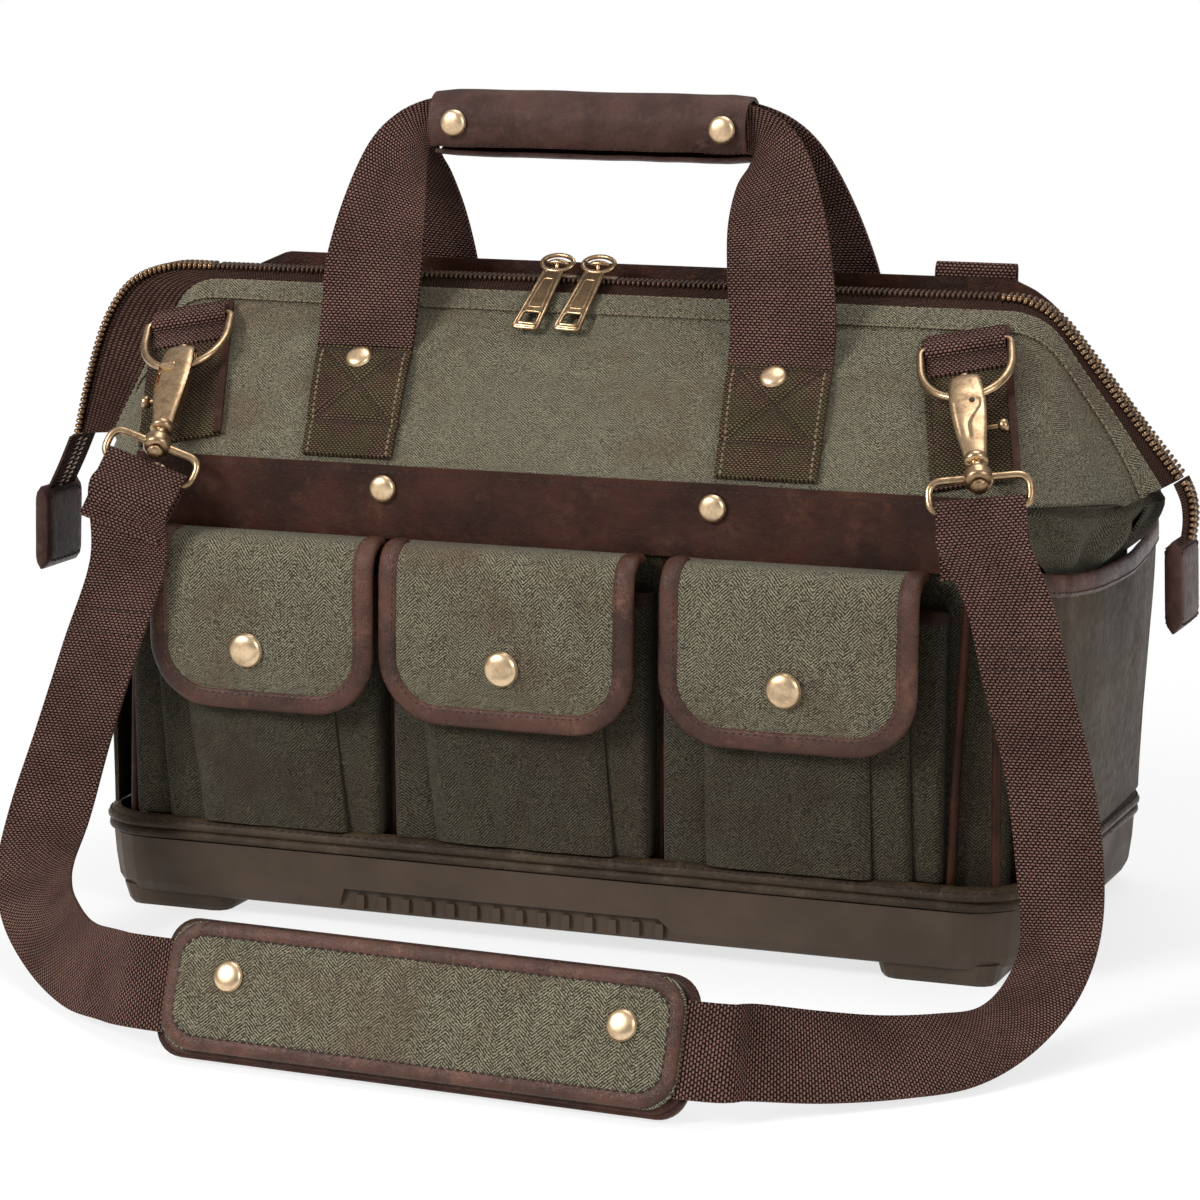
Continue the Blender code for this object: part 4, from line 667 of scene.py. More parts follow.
# Flaps
FLAPS = (("left", -0.1312, 0.056), ("middle", -0.0107, 0.0615), ("right", 0.1225, 0.0595))
FLAP_LINE = ((-0.1076, 0.182), (-0.114, 0.1821), (-0.1215, 0.182), (-0.129, 0.1752), (-0.1305, 0.153))
FLAP_LINE += ((-0.131, 0.1285), (-0.128, 0.1028))
FLAP_CORNER = 0.03
FLAP_INSET = 0.003
BINDING_WIDE, BINDING_STARTS = 0.0049, 0.0056
FLAP_ROWS, FLAP_COLUMNS = 52, 56


def flap_line():
    """The flap's bend from its root down, its corners cut round."""
    points = [Vector((0.0, y, z)) for y, z in FLAP_LINE]
    for _ in range(3):
        cut = [points[0]]
        for a, b in zip(points, points[1:]):
            cut += [mix(a, b, 0.25), mix(a, b, 0.75)]
        points = cut + [points[-1]]
    return even(points, 0.0016)


FLAP_AT = flap_line()
FLAP_RUN = run_of(FLAP_AT)
FLAP_LONG = FLAP_RUN[-1]


def flap_spot(mid, x, d):
    """A point of a flap, x across from its middle and d down from its root."""
    _, y, z = read_at(d, FLAP_RUN, FLAP_AT)
    y += 0.004 * abs(x / 0.065) ** 3.0 * min(1.0, d / FLAP_LONG * 2.0)
    wave = 0.0008 * ripple((mid + x, 0, z), 0.03, 11.0) + 0.0005 * ripple((mid + x, 0, z), 0.012, 4.0)
    return Vector((mid + x, y + smooth(d / FLAP_LONG * 1.6) * wave, z))


def flap_reach(half, d):
    """Half the canvas's width at d down it, inside its round corners."""
    r = FLAP_CORNER - FLAP_INSET
    low = max(0.0, d - (FLAP_LONG - FLAP_INSET - r))
    return half - FLAP_INSET - r + math.sqrt(max(0.0, r * r - low * low))


def binding_outline(half):
    """The (x, d) line down one side, round the bottom and up the other."""
    inner = BINDING_WIDE - 0.0002
    r = FLAP_CORNER - inner
    side = [(-half + inner, d) for d in np.linspace(BINDING_STARTS, FLAP_LONG - FLAP_CORNER, 24)]
    for k in range(1, 15):
        a = math.radians(90.0 * k / 14)
        side.append((-half + inner + r - r * math.cos(a), FLAP_LONG - FLAP_CORNER + r * math.sin(a)))
    across = np.linspace(-half + FLAP_CORNER, half - FLAP_CORNER, 22)[1:-1]
    return side + [(x, FLAP_LONG - inner) for x in across] + [(-x, d) for x, d in reversed(side)]


def make_binding(name, mid, half):
    """The rolled leather binding and its stitches."""
    path, normals = [], []
    for x, d in binding_outline(half):
        path.append(flap_spot(mid, x, d))
        across = flap_spot(mid, x + 0.002, d) - flap_spot(mid, x - 0.002, d)
        down = flap_spot(mid, x, min(FLAP_LONG, d + 0.002)) - flap_spot(mid, x, max(0.0, d - 0.002))
        n = down.cross(across).normalized()
        normals.append(n if n.y < 0 or n.z > 0 else -n)
    edge = sweep("flap_%s_binding" % name, path, normals, oval(BINDING_WIDE, 0.0027, power=2.4), BINDING)
    keep(edge, "flap_" + name, "leather")
    rows = [p + n * 0.0021 for p, n in zip(path, normals)]
    centre = flap_spot(mid, 0.0, FLAP_LONG * 0.5)
    inward = []
    for i, p in enumerate(rows):
        along = (rows[min(i + 1, len(rows) - 1)] - rows[max(i - 1, 0)]).normalized()
        side = along.cross(normals[i]).normalized()
        side = side if side.dot(centre - p) > 0 else -side
        inward.append(p + side * 0.0029)
    row = stitches("flap_%s_stitches" % name, inward, normals, THREAD, 0.0034, 0.0023, 0.00045)
    keep(row, "flap_" + name, "leather")


def make_flaps():
    for name, mid, half in FLAPS:
        grid = []
        for i in range(FLAP_ROWS + 1):
            d = (FLAP_LONG - FLAP_INSET) * (1 - (1 - i / FLAP_ROWS) ** 1.25)
            wide = flap_reach(half, d)
            across = [-wide + 2 * wide * k / FLAP_COLUMNS for k in range(FLAP_COLUMNS + 1)]
            grid.append([flap_spot(mid, x, d) for x in across])
        flap = Surface(grid, CANVAS, flip=True)
        downs = [i * FLAP_LONG / FLAP_ROWS for i in range(FLAP_ROWS + 1)]
        flap.uv = np.array([[(p[0], d) for p in row] for d, row in zip(downs, flap.points)])
        keep(flap.build("flap_%s_look" % name, OLIVE), "flap_" + name, "canvas", "flap_" + name)
        make_binding(name, mid, half)


# Leather band over the flaps
def pucker(x, z):
    """How far the band is drawn in round its rivets, with a crease below each."""
    found = 0.0
    for rivet in BAND_RIVETS:
        found += 0.0011 * math.exp(-(((x - rivet) / 0.01) ** 2)) * smooth((0.2056 - z) / 0.02)
        found -= 0.0008 * math.exp(-(((x - rivet) / 0.0016) ** 2)) * smooth((0.203 - z) / 0.006)
    return found


BAND_ROWS, BAND_COLUMNS = 14, 160


def make_band():
    grid = []
    for i in range(BAND_ROWS + 1):
        z = mix(*BAND_Z, i / BAND_ROWS)
        row = []
        for k in range(BAND_COLUMNS + 1):
            x = mix(-BAND_HALF, BAND_HALF, k / BAND_COLUMNS)
            draw = pucker(x, z) + 0.0006 * ripple((x, 0.0, z), 0.028, 2.0)
            row.append(Vector((x, FRONT_Y - 0.0022 - max(-0.0006, draw), z)))
        grid.append(row)
    band = Surface(grid, 0.0018)
    keep(band.build("band_look", BAND), "body", "leather", "band_front")
    sew("band_top_stitches", band, [(0.9, 0.004), (0.9, 0.996)], "body", "leather", steps=160)
    for n, rivet in enumerate(BAND_RIVETS[1:3]):
        u = (rivet + BAND_HALF) / (2 * BAND_HALF)
        corners = [(0.46, u), (0.04, u)]
        sew("band_tack_%d" % n, band, corners, "body", "leather", steps=8, pitch=0.0032, long=0.0021)


# The mouth: panels, hems, zip
PANEL_FOOT = (
    (0.195, -0.104, 0.213),
    (0.208, -0.1025, 0.213),
    (0.221, -0.093, 0.2125),
    (0.232, -0.076, 0.211),
    (0.241, -0.055, 0.209),
    (0.248, -0.034, 0.206),
)
PANEL_HEM = (
    (0.19, -HEM_Y, HEM_Z),
    (0.204, -HEM_Y, 0.285),
    (0.215, -HEM_Y, 0.279),
    (0.227, -0.014, 0.262),
    (0.242, -0.016, 0.24),
    (0.26, -0.018, 0.211),
)
ZIP_RIGHT = ((0.19, ZIP_Z), (0.204, 0.2905), (0.216, 0.283), (0.229, 0.266), (0.245, 0.243), (0.266, 0.214))
ZIP_LEFT = ((0.206, ZIP_Z), (0.23, 0.2915), (0.25, 0.283), (0.266, 0.264), (0.279, 0.236), (0.289, 0.207))
SPAN_STEPS, PANEL_ROWS = 14, 34
HEM_ROWS = (0.0, 0.04, 0.25, 0.5, 0.75, 0.94, 1.0)
TOOTH, TOOTH_PITCH = (0.00112, 0.0033, 0.0021), 0.0027
SLIM_TOOTH, SLIM_PITCH = (0.0009, 0.0031, 0.0017), 0.0025


def lean(z):
    """How far the whole mouth leans to the left at a height."""
    return MOUTH_LEAN * max(0.0, min(1.0, (z - CREASE_Z) / (HEM_Z - CREASE_Z)))


def whole_line(right, left=None, straight=9):
    """A line from the left end to the right, its straight run cut up evenly; the left mirrors the right."""
    left = left or right
    x0, (x1, y1, z1) = -left[0][0], right[0]
    middle = [(mix(x0, x1, k / (straight + 1)), y1, z1) for k in range(1, straight + 1)]
    line = [(-x, y, z) for x, y, z in reversed(left)] + middle + list(right)
    return [Vector((x + lean(z), y, z)) for x, y, z in line]


def backwards(line):
    """The front's line carried to the back, which reaches further from the zip."""
    made = []
    for p in line:
        y = -p.y
        if y > HEM_Y:
            y = HEM_Y + (y - HEM_Y) * BACK_REACH
        made.append(Vector((p.x, y, p.z)))
    return made


def zip_line(y):
    """The line of the teeth at one side of the zip, a little further apart past its bends."""
    apart = [y] + [y * 1.4] * (len(ZIP_RIGHT) - 1)
    right = [(x, step, z) for (x, z), step in zip(ZIP_RIGHT, apart)]
    left = [(x, step, z) for (x, z), step in zip(ZIP_LEFT, apart)]
    return whole_line(right, left)


def tooth_shape():
    """A small rounded block, about -1 to 1 each way."""
    verts = []
    rings, sides = 5, 8
    for i in range(rings):
        a = math.pi * (i + 0.5) / rings - math.pi / 2
        for b in turns(sides):
            p = (math.cos(a) * math.cos(b), math.cos(a) * math.sin(b), math.sin(a))
            verts.append([bulged(c, 0.6) for c in p])
    return np.array(verts), ring_faces(rings, sides)


def teeth(name, line, across, body, size=TOOTH, pitch=TOOTH_PITCH, offset=0.0, metal=BRONZE):
    """Chunky teeth along a line; across points from the tape towards the other half."""
    shape, plan = tooth_shape()
    points, across = array_of(line), np.array(across, float)
    run = run_of(points)
    verts, faces = [], []
    s = pitch * (0.5 + offset)
    while s < run[-1] - pitch * 0.3:
        ends = (min(run[-1], s + 0.002), max(0.0, s - 0.002))
        ahead, behind = (read_at(end, run, points) for end in ends)
        along = unit(ahead - behind)
        over = unit(across - along * np.dot(across, along))
        up = np.cross(along, over)
        up = up if up[2] > 0 or abs(up[0]) > 0.5 else -up
        middle = read_at(s, run, points) - over * size[1] * 0.45
        faces += [tuple(len(verts) + k for k in face) for face in plan]
        verts += [tuple(p) for p in middle + (shape * np.array(size)) @ np.array((along, over, up))]
        s += pitch
    return keep(add_mesh(name, verts, faces, metal, sharp=75.0), body, "zip")


def make_hem(side, panel, foot, hem):
    """The strip folded over the panel's top edge, with two rows of stitches."""
    last = PANEL_ROWS - 1
    grid = []
    for t in HEM_ROWS:
        row = []
        for k, (low, high) in enumerate(zip(foot, hem)):
            i = mix(max(0.1, 1 - HEM_WIDTH / (high - low).length), 1.0, t) * last
            i0 = min(int(i), last - 1)
            p = mix(Vector(panel.points[i0, k]), Vector(panel.points[i0 + 1, k]), i - i0)
            n = Vector(panel.normals[min(last, int(round(i))), k])
            row.append(p + n * (CANVAS / 2 + 0.0007 + 0.0005 * math.sin(math.pi * t)))
        grid.append(row)
    over = []
    for k, (p, q) in enumerate(zip(grid[-1], grid[-2])):
        over.append(p + (p - q).normalized() * 0.0008 - Vector(panel.normals[last, k]) * 0.0018)
    strip = Surface(grid + [over], 0.0011, flip=side == "back")
    keep(strip.build(side + "_hem", OLIVE), side + "_half", "canvas")
    for n, share in enumerate((0.09, 0.76)):
        corners = [(share, 0.004), (share, 0.996)]
        label = "%s_hem_stitches_%d" % (side, n)
        sew(label, strip, corners, side + "_half", "canvas", THREAD_OLIVE, steps=260, thick=0.0005)


def make_zip_half(side, hem, teeth_at):
    """The zip's tape from the hem to its teeth, which are slimmer along the top."""
    body, back = side + "_half", side == "back"
    tape = []
    for t in (0.0, 0.25, 0.5, 0.75, 1.0):
        tape.append([mix(a + (b - a).normalized() * 0.0016, b, t) for a, b in zip(hem, teeth_at)])
    half = Surface(tape, 0.0012, flip=back)
    keep(half.build("zip_%s_tape" % side, TAPE), body, "zip", "zip_" + side)
    bend = 5 * SPAN_STEPS
    spans = (
        ("low", teeth_at[: bend + 1], TOOTH, TOOTH_PITCH, BRONZE),
        # The teeth along the top take the darker copy: painted shade
        ("mid", teeth_at[bend:-bend], SLIM_TOOTH, SLIM_PITCH, TEETH),
        ("high", teeth_at[-bend - 1 :], TOOTH, TOOTH_PITCH, BRONZE),
    )
    over, offset = (0, -1 if back else 1, 0), 0.5 if back else 0.0
    for label, line, size, pitch, metal in spans:
        teeth("zip_%s_teeth_%s" % (side, label), line, over, body, size, pitch, offset, metal)


def make_lip(hem):
    """The leather lip that stands up behind the zip and fades out at both ends."""
    lip = []
    for t in (0.0, 0.2, 0.4, 0.6, 0.8, 1.0):
        row = []
        for p in hem:
            tall = max(0.12, min(1.0, (0.212 - abs(p.x)) / 0.03))
            row.append(p + Vector((0.0, 0.0013 + 0.0005 * t, 0.0006 + 0.0128 * tall * t)))
        lip.append(row)
    keep(Surface(lip, 0.0014, flip=True).build("back_lip", BAND), "back_half", "leather")


def make_mouth(side):
    """One half of the mouth: its canvas panel, its hem, its half of the zip and its wire."""
    back = side == "back"
    turn = backwards if back else list
    foot, hem = (spline(turn(whole_line(line)), SPAN_STEPS) for line in (PANEL_FOOT, PANEL_HEM))
    teeth_at = spline(zip_line(ZIP_Y if back else -ZIP_Y), SPAN_STEPS)
    columns = len(foot)
    out = Vector((0.0, (1 if back else -1) * UP.z, UP.y))

    def cloth(k, t):
        p = mix(foot[k], hem[k], t)
        ends = smooth((abs(k / (columns - 1) - 0.5) - 0.3) / 0.12)
        bow = math.sin(math.pi * t)
        wave = 0.0012 * ripple(p, 0.055, 7.0) + 0.0005 * ripple(p, 0.02, 9.0)
        tuck = ends * bow * 0.0044 * ripple((p.x * 2.2 + p.z, p.y, p.z * 0.5), 0.022, 1.0)
        return p + out * (bow * (wave - 0.0006) + tuck)

    rows = [[cloth(k, t) for k in range(columns)] for t in np.linspace(0.0, 1.0, PANEL_ROWS)]
    panel = Surface(rows, CANVAS, flip=back)
    keep(panel.build(side + "_panel_look", OLIVE), side + "_half", "canvas", side + "_panel")
    make_hem(side, panel, foot, hem)
    make_zip_half(side, hem, teeth_at)
    if back:
        make_lip(hem)
    paint(side + "_frame", plain_material(side + "_wire", (0.42, 0.42, 0.43), 0.35, 1.0))


ZIP_ENDS = (
    ("left", ZIP_LEFT, -1, [(-0.2955, 0.1925), (-0.302, 0.18)], (-0.303, 0.16)),
    ("right", ZIP_RIGHT, 1, [(0.2695, 0.205), (0.2705, 0.196), (0.2695, 0.186)], (0.2665, 0.166)),
)
TAB_TOP, TAB_BOTTOM, TAB_RINGS, TAB_SIDES = 0.0215, -0.02, 15, 24
TAB_FRAME = ((-0.015, 0.018), (0.015, 0.018), (0.015, -0.0165), (-0.015, -0.0165), (-0.015, 0.018))


def make_tab(body, sign, x, z):
    """The folded leather tab on the zip's end, with a frame of stitches on both faces."""

    def place(out, y, level):
        return Vector((x + sign * 0.0016 * (0.5 - level / 0.05) + out, y, z + level))

    verts = []
    for t in np.linspace(0.0, 1.0, TAB_RINGS):
        thick = 0.004 * (1 - abs(2 * t - 1) ** 9) + 0.0006
        wide = 0.0185 + 0.0006 * ripple((t, 0, sign), 0.3)
        level = mix(TAB_TOP, TAB_BOTTOM, t)
        for a in turns(TAB_SIDES):
            verts.append(place(bulged(math.cos(a), 0.45) * thick, bulged(math.sin(a), 0.3) * wide, level))
    faces = [face[:1] + face[:0:-1] for face in ring_faces(TAB_RINGS, TAB_SIDES, caps=False)]
    faces.append(tuple(range(TAB_SIDES)))
    faces.append(tuple((TAB_RINGS - 1) * TAB_SIDES + k for k in range(TAB_SIDES))[::-1])
    keep(add_mesh(body + "_tab", verts, faces, GRIP, sharp=60.0), body, "leather")
    for face in (-1, 1):
        row = even([place(face * 0.004, y, level) for y, level in TAB_FRAME], 0.002)
        piece = stitches("%s_tab_stitches_%d" % (body, face + 1), row, [(face, 0, 0)] * len(row), THREAD)
        keep(piece, body, "leather")


def make_zip_ends():
    """The closed zip beyond the mouth, down into its tab."""
    for name, row, sign, more, tab in ZIP_ENDS:
        x1, z1 = row[-1]
        line = spline([(x, 0.0, z) for x, z in [(sign * x1 + lean(z1), z1 - 0.0006)] + more], 8)
        grid = [[Vector((p.x, y, p.z)) for y in np.linspace(-0.013, 0.013, 13)] for p in line]
        body = "zip_end_" + name
        tape = Surface(grid, 0.0013, flip=sign < 0)
        keep(tape.build(body + "_tape", TAPE), body, "zip", body)
        for half in (-1, 1):
            path = [Vector((p.x + sign * 0.0012, half * 0.0016, p.z)) for p in line]
            teeth("%s_teeth_%d" % (body, half + 1), path, (0, -half, 0), body, offset=0.5 * (half > 0))
        make_tab(body, sign, *tab)


GUSSET_HIGH = (
    (0.206, -0.103, 0.212), (0.216, -0.0965, 0.2118), (0.225, -0.086, 0.211), (0.2335, -0.072, 0.2095),
    (0.241, -0.054, 0.208), (0.248, -0.034, 0.207), (0.256, -0.012, 0.21), (0.258, 0.018, 0.209),
)
GUSSET_LOW = (
    (0.207, -0.104, 0.1885), (0.216, -0.099, 0.1885), (0.2228, -0.088, 0.187), (0.225, -0.074, 0.179),
    (0.2262, -0.054, 0.174), (0.227, -0.034, 0.171), (0.227, -0.008, 0.17), (0.227, 0.018, 0.17),
)
GUSSET_ROWS, GUSSET_COLUMNS = 18, 44


def gusset_fold(sx, sy):
    """The points of one fold; the back one lies a little inside the front one."""
    shift, lift = (0.0, 0.0) if sy > 0 else (0.008, -0.0018)
    edges = []
    for line in (GUSSET_LOW, GUSSET_HIGH):
        edges.append(even(spline([(sx * (x + lift), sy * y + shift, z) for x, y, z in line], 8), 0.003))
    grid = []
    for t in np.linspace(0.0, 1.0, GUSSET_ROWS):
        row = []
        for k in range(GUSSET_COLUMNS):
            share = k / (GUSSET_COLUMNS - 1)
            low, high = (Vector(edge[int(round(share * (len(edge) - 1)))]) for edge in edges)
            p = mix(low, high, t)
            slack = math.sin(math.pi * t) * (0.004 + 0.006 * ripple((p.y * 1.5, p.z * 0.4, sx), 0.02, 3.0))
            slack -= 0.005 * math.exp(-(((t - 0.93) / 0.07) ** 2))
            slack += 0.0028 * math.sin(math.pi * t) * math.sin(share * 19.0 + 3.4 * t)
            near = smooth(share / 0.18)
            row.append(p + Vector((sx * near, -sy * 0.3 * (1 - near), 0.0)) * slack)
        grid.append(row)
    return grid


def make_gussets():
    """The slack canvas ends: front and back folds that overlap, tucked down inside each end pocket."""
    for name, sx in (("left", -1), ("right", 1)):
        for part, sy in (("front", 1), ("back", -1)):
            fold = Surface(gusset_fold(sx, sy), 0.0013, flip=sx * sy > 0)
            # The folds wear the darker canvas: painted shade
            piece = fold.build("gusset_%s_%s" % (name, part), FOLD)
            if sy > 0:
                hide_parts("gusset_" + name)
            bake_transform(piece)


# Handles and grip
def on_panel(x, s, n, back=False):
    """A point of the flat panel, x across, s up its slope and n off its outer face."""
    point = Vector((x, FRONT_Y, CREASE_Z)) + UP * s + OUT * (n + CANVAS / 2)
    if back:
        return Vector((point.x, HEM_Y + (-point.y - HEM_Y) * BACK_REACH, point.z))
    return point


SEWN_RISES, SEWN_LONG = (0.006, 0.025, 0.05, 0.0755), 0.072
OUTER_AT = ((-0.04, 0.279), (-0.033, 0.302), (-0.023, 0.33), (-0.013, 0.355), (-0.007, 0.369))
INNER_AT = ((-0.04, 0.279), (-0.033, 0.3), (-0.024, 0.322), (-0.015, 0.339), (-0.0085, 0.348))
LEGS = {
    "left": (
        ((-0.1205, -0.1375), (-0.139, -0.1395, -0.1345, -0.126, -0.114)),
        ((-0.0762, -0.0895), (-0.0905, -0.091, -0.093, -0.096, -0.0985)),
    ),
    "right": (
        ((0.1275, 0.1165), (0.115, 0.1115, 0.1035, 0.0925, 0.08)),
        ((0.08, 0.0668), (0.065, 0.061, 0.058, 0.059, 0.063)),
    ),
}


def leg_lines(side, leg):
    """The outer and the inner edge of one leg of a handle, from its sewn foot to the grip."""
    back = side == "back"
    end = GRIP_X[0] - 0.002 if leg == "left" else GRIP_X[1] + 0.002
    lines = []
    for (sewn, across), free, rise in zip(LEGS[leg], (OUTER_AT, INNER_AT), (GRIP_WEB[1], -GRIP_WEB[1])):
        line = [on_panel(mix(*sewn, s / SEWN_LONG), s, GAP + WEB / 2, back) for s in SEWN_RISES]
        points = [(x, y, z) for x, (y, z) in zip(across, free)] + [(end, -GRIP_WEB[0], GRIP_Z + rise)]
        lines.append(line + [Vector((x, -y if back else y, z)) for x, y, z in points])
    return lines


WEB_STEPS = 8


def web_surface(one, two, columns, thick, flip):
    """Webbing between two edge lines."""
    rows = []
    for p, q in zip(spline(one, WEB_STEPS), spline(two, WEB_STEPS)):
        rows.append([mix(p, q, k / (columns - 1)) for k in range(columns)])
    made = Surface(rows, thick, flip)
    wide = np.linspace(0.0, np.linalg.norm(made.points[0, -1] - made.points[0, 0]), columns)
    made.uv = np.stack(np.meshgrid(wide, run_of(made.points[:, columns // 2])), axis=-1)
    return made


def make_handles():
    for side in ("front", "back"):
        y = GRIP_WEB[0] * (1 if side == "back" else -1)
        for leg, sign in (("left", 1), ("right", -1)):
            outer, inner = leg_lines(side, leg)
            end = outer[-1].x
            for k in (1, 2):
                outer.append(Vector((end + sign * 0.012 * k, y, GRIP_Z + GRIP_WEB[1])))
                inner.append(Vector((end + sign * 0.012 * k, y, GRIP_Z - GRIP_WEB[1])))
            web = web_surface(outer, inner, 15, WEB, (side == "front") != (leg == "left"))
            above_foot = web.rows((len(SEWN_RISES) - 1) * WEB_STEPS, len(web.points))
            piece = above_foot.build("handle_%s_%s" % (side, leg), WEBBING)
            if leg == "left":
                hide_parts("handle_" + side)
            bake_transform(piece)
            make_cross(side, leg, outer, inner)


FOOT_BOX = (0.3, 0.965, 0.06, 0.94)


def pressed(v, u):
    """How far the stitches of the box and its cross press the webbing in, and the cloth between swells."""
    low, high, left, right = FOOT_BOX
    t, w = (v - low) / (high - low), (u - left) / (right - left)
    lines = [abs(t - w) * 0.72, abs(t + w - 1) * 0.72]
    inside = -0.02 < t < 1.02
    groove = sum(math.exp(-((d / 0.045) ** 2)) for d in lines) if inside else 0.0
    groove += math.exp(-((t / 0.05) ** 2)) + math.exp(-(((t - 1) / 0.04) ** 2))
    swell = math.sin(math.pi * max(0.0, min(1.0, t))) * 0.5 + 0.3 * ripple((v, u, 0.0), 0.15, 2.0)
    return 0.001 * swell - 0.0013 * min(1.0, groove)


def make_cross(side, leg, outer, inner):
    """The sewn foot, tinted by the canvas: its pressed box with a cross, and the rows of stitches."""
    back = side == "back"
    rows = []
    for v in np.linspace(0.0, 1.0, 70):
        s = mix(0.006, 0.0755, v)
        a = mix(outer[0], outer[3], (s - 0.006) / 0.0695)
        b = mix(inner[0], inner[3], (s - 0.006) / 0.0695)
        if a.x > b.x:
            a, b = b, a
        out = Vector((0.0, OUT.y * (-1 if back else 1), OUT.z))
        rows.append([mix(a, b, t) + out * (0.0004 + pressed(v, t)) for t in np.linspace(0.0, 1.0, 45)])
    foot = Surface(rows, WEB, flip=back)
    body = side + "_half"
    label = "%s_%s" % (side, leg)
    keep(foot.build("foot_" + label, GREENED, 60.0), body, "webbing")
    low, high, left, right = FOOT_BOX
    boxes = (
        ("edge_low", [(0.0, left), (high, left)], THREAD_OLIVE),
        ("edge_high", [(0.0, right), (high, right)], THREAD_OLIVE),
        ("top", [(high, left), (high, right)], THREAD),
        ("bottom", [(low, left), (low, right)], THREAD),
        ("cross_one", [(low, left + 0.02), (high, right - 0.02)], THREAD),
        ("cross_two", [(low, right - 0.02), (high, left + 0.02)], THREAD),
    )
    for part, corners, thread in boxes:
        sew("sewn_%s_%s" % (label, part), foot, corners, body, "webbing", thread, steps=30, thick=0.0006)


def make_grip():
    """The leather wrap and the front flap that closes over it, with an open lower lip."""
    x0, x1 = GRIP_X
    ry, rz = GRIP_R

    def shell(name, start, end, body, node, lift=0.0):
        rows = []
        for a in np.linspace(math.radians(start), math.radians(end), 40):
            row = []
            for k in range(61):
                x = mix(x0, x1, k / 60)
                near = min(x - x0, x1 - x)
                squeeze = 0.001 * max(0.0, 1 - near / 0.01)
                swell = 0.0005 * ripple((x, 0, a * 0.02), 0.022, 6.0)
                y = math.cos(a) * (ry - 0.001 + lift - squeeze + swell)
                z = GRIP_Z + math.sin(a) * (rz - 0.001 + lift - squeeze + swell)
                row.append(Vector((x, y, z)))
            rows.append(row)
        made = Surface(rows, 0.0019, flip=True)
        keep(made.build(name, GRIP), body, "leather", node)
        return made

    shell("grip_wrap_look", 78.0, -112.0, "body", "grip_wrap")
    flap = shell("grip_flap_look", 82.0, 222.0, "grip_flap", "grip_flap")
    sew("grip_stitches", flap, [(0.965, 0.02), (0.965, 0.98)], "grip_flap", "leather", steps=60)


# Ring tabs, back loop
RING_BAR = {"left": (-0.208, 0.0852), "right": (0.175, 0.0905)}
RING_LEAN = math.radians(16.0)
RING_HALF, RING_DEEP, RING_OFF = 0.0205, 0.04, (0.0048, 0.0114)
RING_STRAP = (
    (0.011, 0.003), (0.006, 0.0032), (0.0036, 0.0066), (0.0, 0.0078),
    (-0.0036, 0.0066), (-0.006, 0.0034), (-0.015, 0.0032),
)


def ring_frame(name):
    """The middle of a ring's bar on the panel, and the directions up from it and along it."""
    x, s = RING_BAR[name]
    side = Vector((1.0, 0.0, 0.0))
    up = UP * math.cos(RING_LEAN) - side * math.sin(RING_LEAN)
    along = side * math.cos(RING_LEAN) + UP * math.sin(RING_LEAN)
    return on_panel(x, s, 0.0), up, along


def make_ring_tab(name):
    """A ring's sewn patch with its bound edge, and the strap over the ring's bar."""
    half = RING_HALF - 0.0025
    origin, up, along = ring_frame(name)
    body = "front_half"

    def grid(places, across):
        return [[origin + along * b + up * rise + OUT * n for b in across] for rise, n in places]

    def rows_of_stitches(label, surface, lines):
        for n, corners in enumerate(lines):
            sew("%s_stitches_%d" % (label, n), surface, corners, body, "webbing", thick=0.0005)

    rises = np.linspace((0.01 - RING_BAR[name][1]) / math.cos(RING_LEAN), 0.011, 30)
    places = [(rise, GAP + 0.0014) for rise in rises]
    patch = Surface(grid(places, np.linspace(-half - 0.002, half + 0.002, 17)), 0.0015)
    keep(patch.build("ring_patch_" + name, GREENED), body, "webbing", "ring_tab_" + name)
    rows_of_stitches("ring_patch_" + name, patch, [[(0.01, u), (0.95, u)] for u in (0.06, 0.94)])
    places = [(rise, GAP + 0.0024) for rise in rises]
    edge = Surface(grid(places, (half - 0.0012, half + 0.0014, half + 0.0022)), 0.0012)
    keep(edge.build("ring_patch_%s_edge" % name, BAND), body, "leather")
    line = spline([(0.0, rise, n) for rise, n in RING_STRAP], 6)
    tab = Surface(grid([(p.y, p.z) for p in line], np.linspace(-half, half, 17))[::-1], 0.0017)
    keep(tab.build("ring_strap_" + name, WEBBING), body, "webbing")
    rows_of_stitches("ring_strap_" + name, tab, [[(v, 0.03), (v, 0.97)] for v in (0.1, 0.2)])


BACK_LOOP_X, BACK_LOOP_HALF = 0.163, 0.019
BACK_LOOP = ((0.0195, 0.293), (0.019, 0.3005), (0.0207, 0.3044), (0.0233, 0.3034), (0.0236, 0.294))


def make_back_loop():
    """The webbing loop on the back, folded over above the mouth."""
    line = [on_panel(BACK_LOOP_X, s, n, True) for s, n in ((0.084, 0.0016), (0.098, 0.0016), (0.109, 0.0018))]
    line += [Vector((BACK_LOOP_X, y, z)) for y, z in BACK_LOOP]
    line += [on_panel(BACK_LOOP_X, s, n, True) for s, n in ((0.103, 0.0052), (0.093, 0.0046))]
    across = np.linspace(-BACK_LOOP_HALF, BACK_LOOP_HALF, 13)
    grid = [[p + Vector((b, 0, 0)) for b in across] for p in spline(line, 6)]
    loop = Surface(grid, 0.0018, flip=True)
    keep(loop.build("back_loop_look", WEBBING), "back_half", "webbing", "back_loop")


# End pockets
POCKET_TURN = math.radians(78.0)


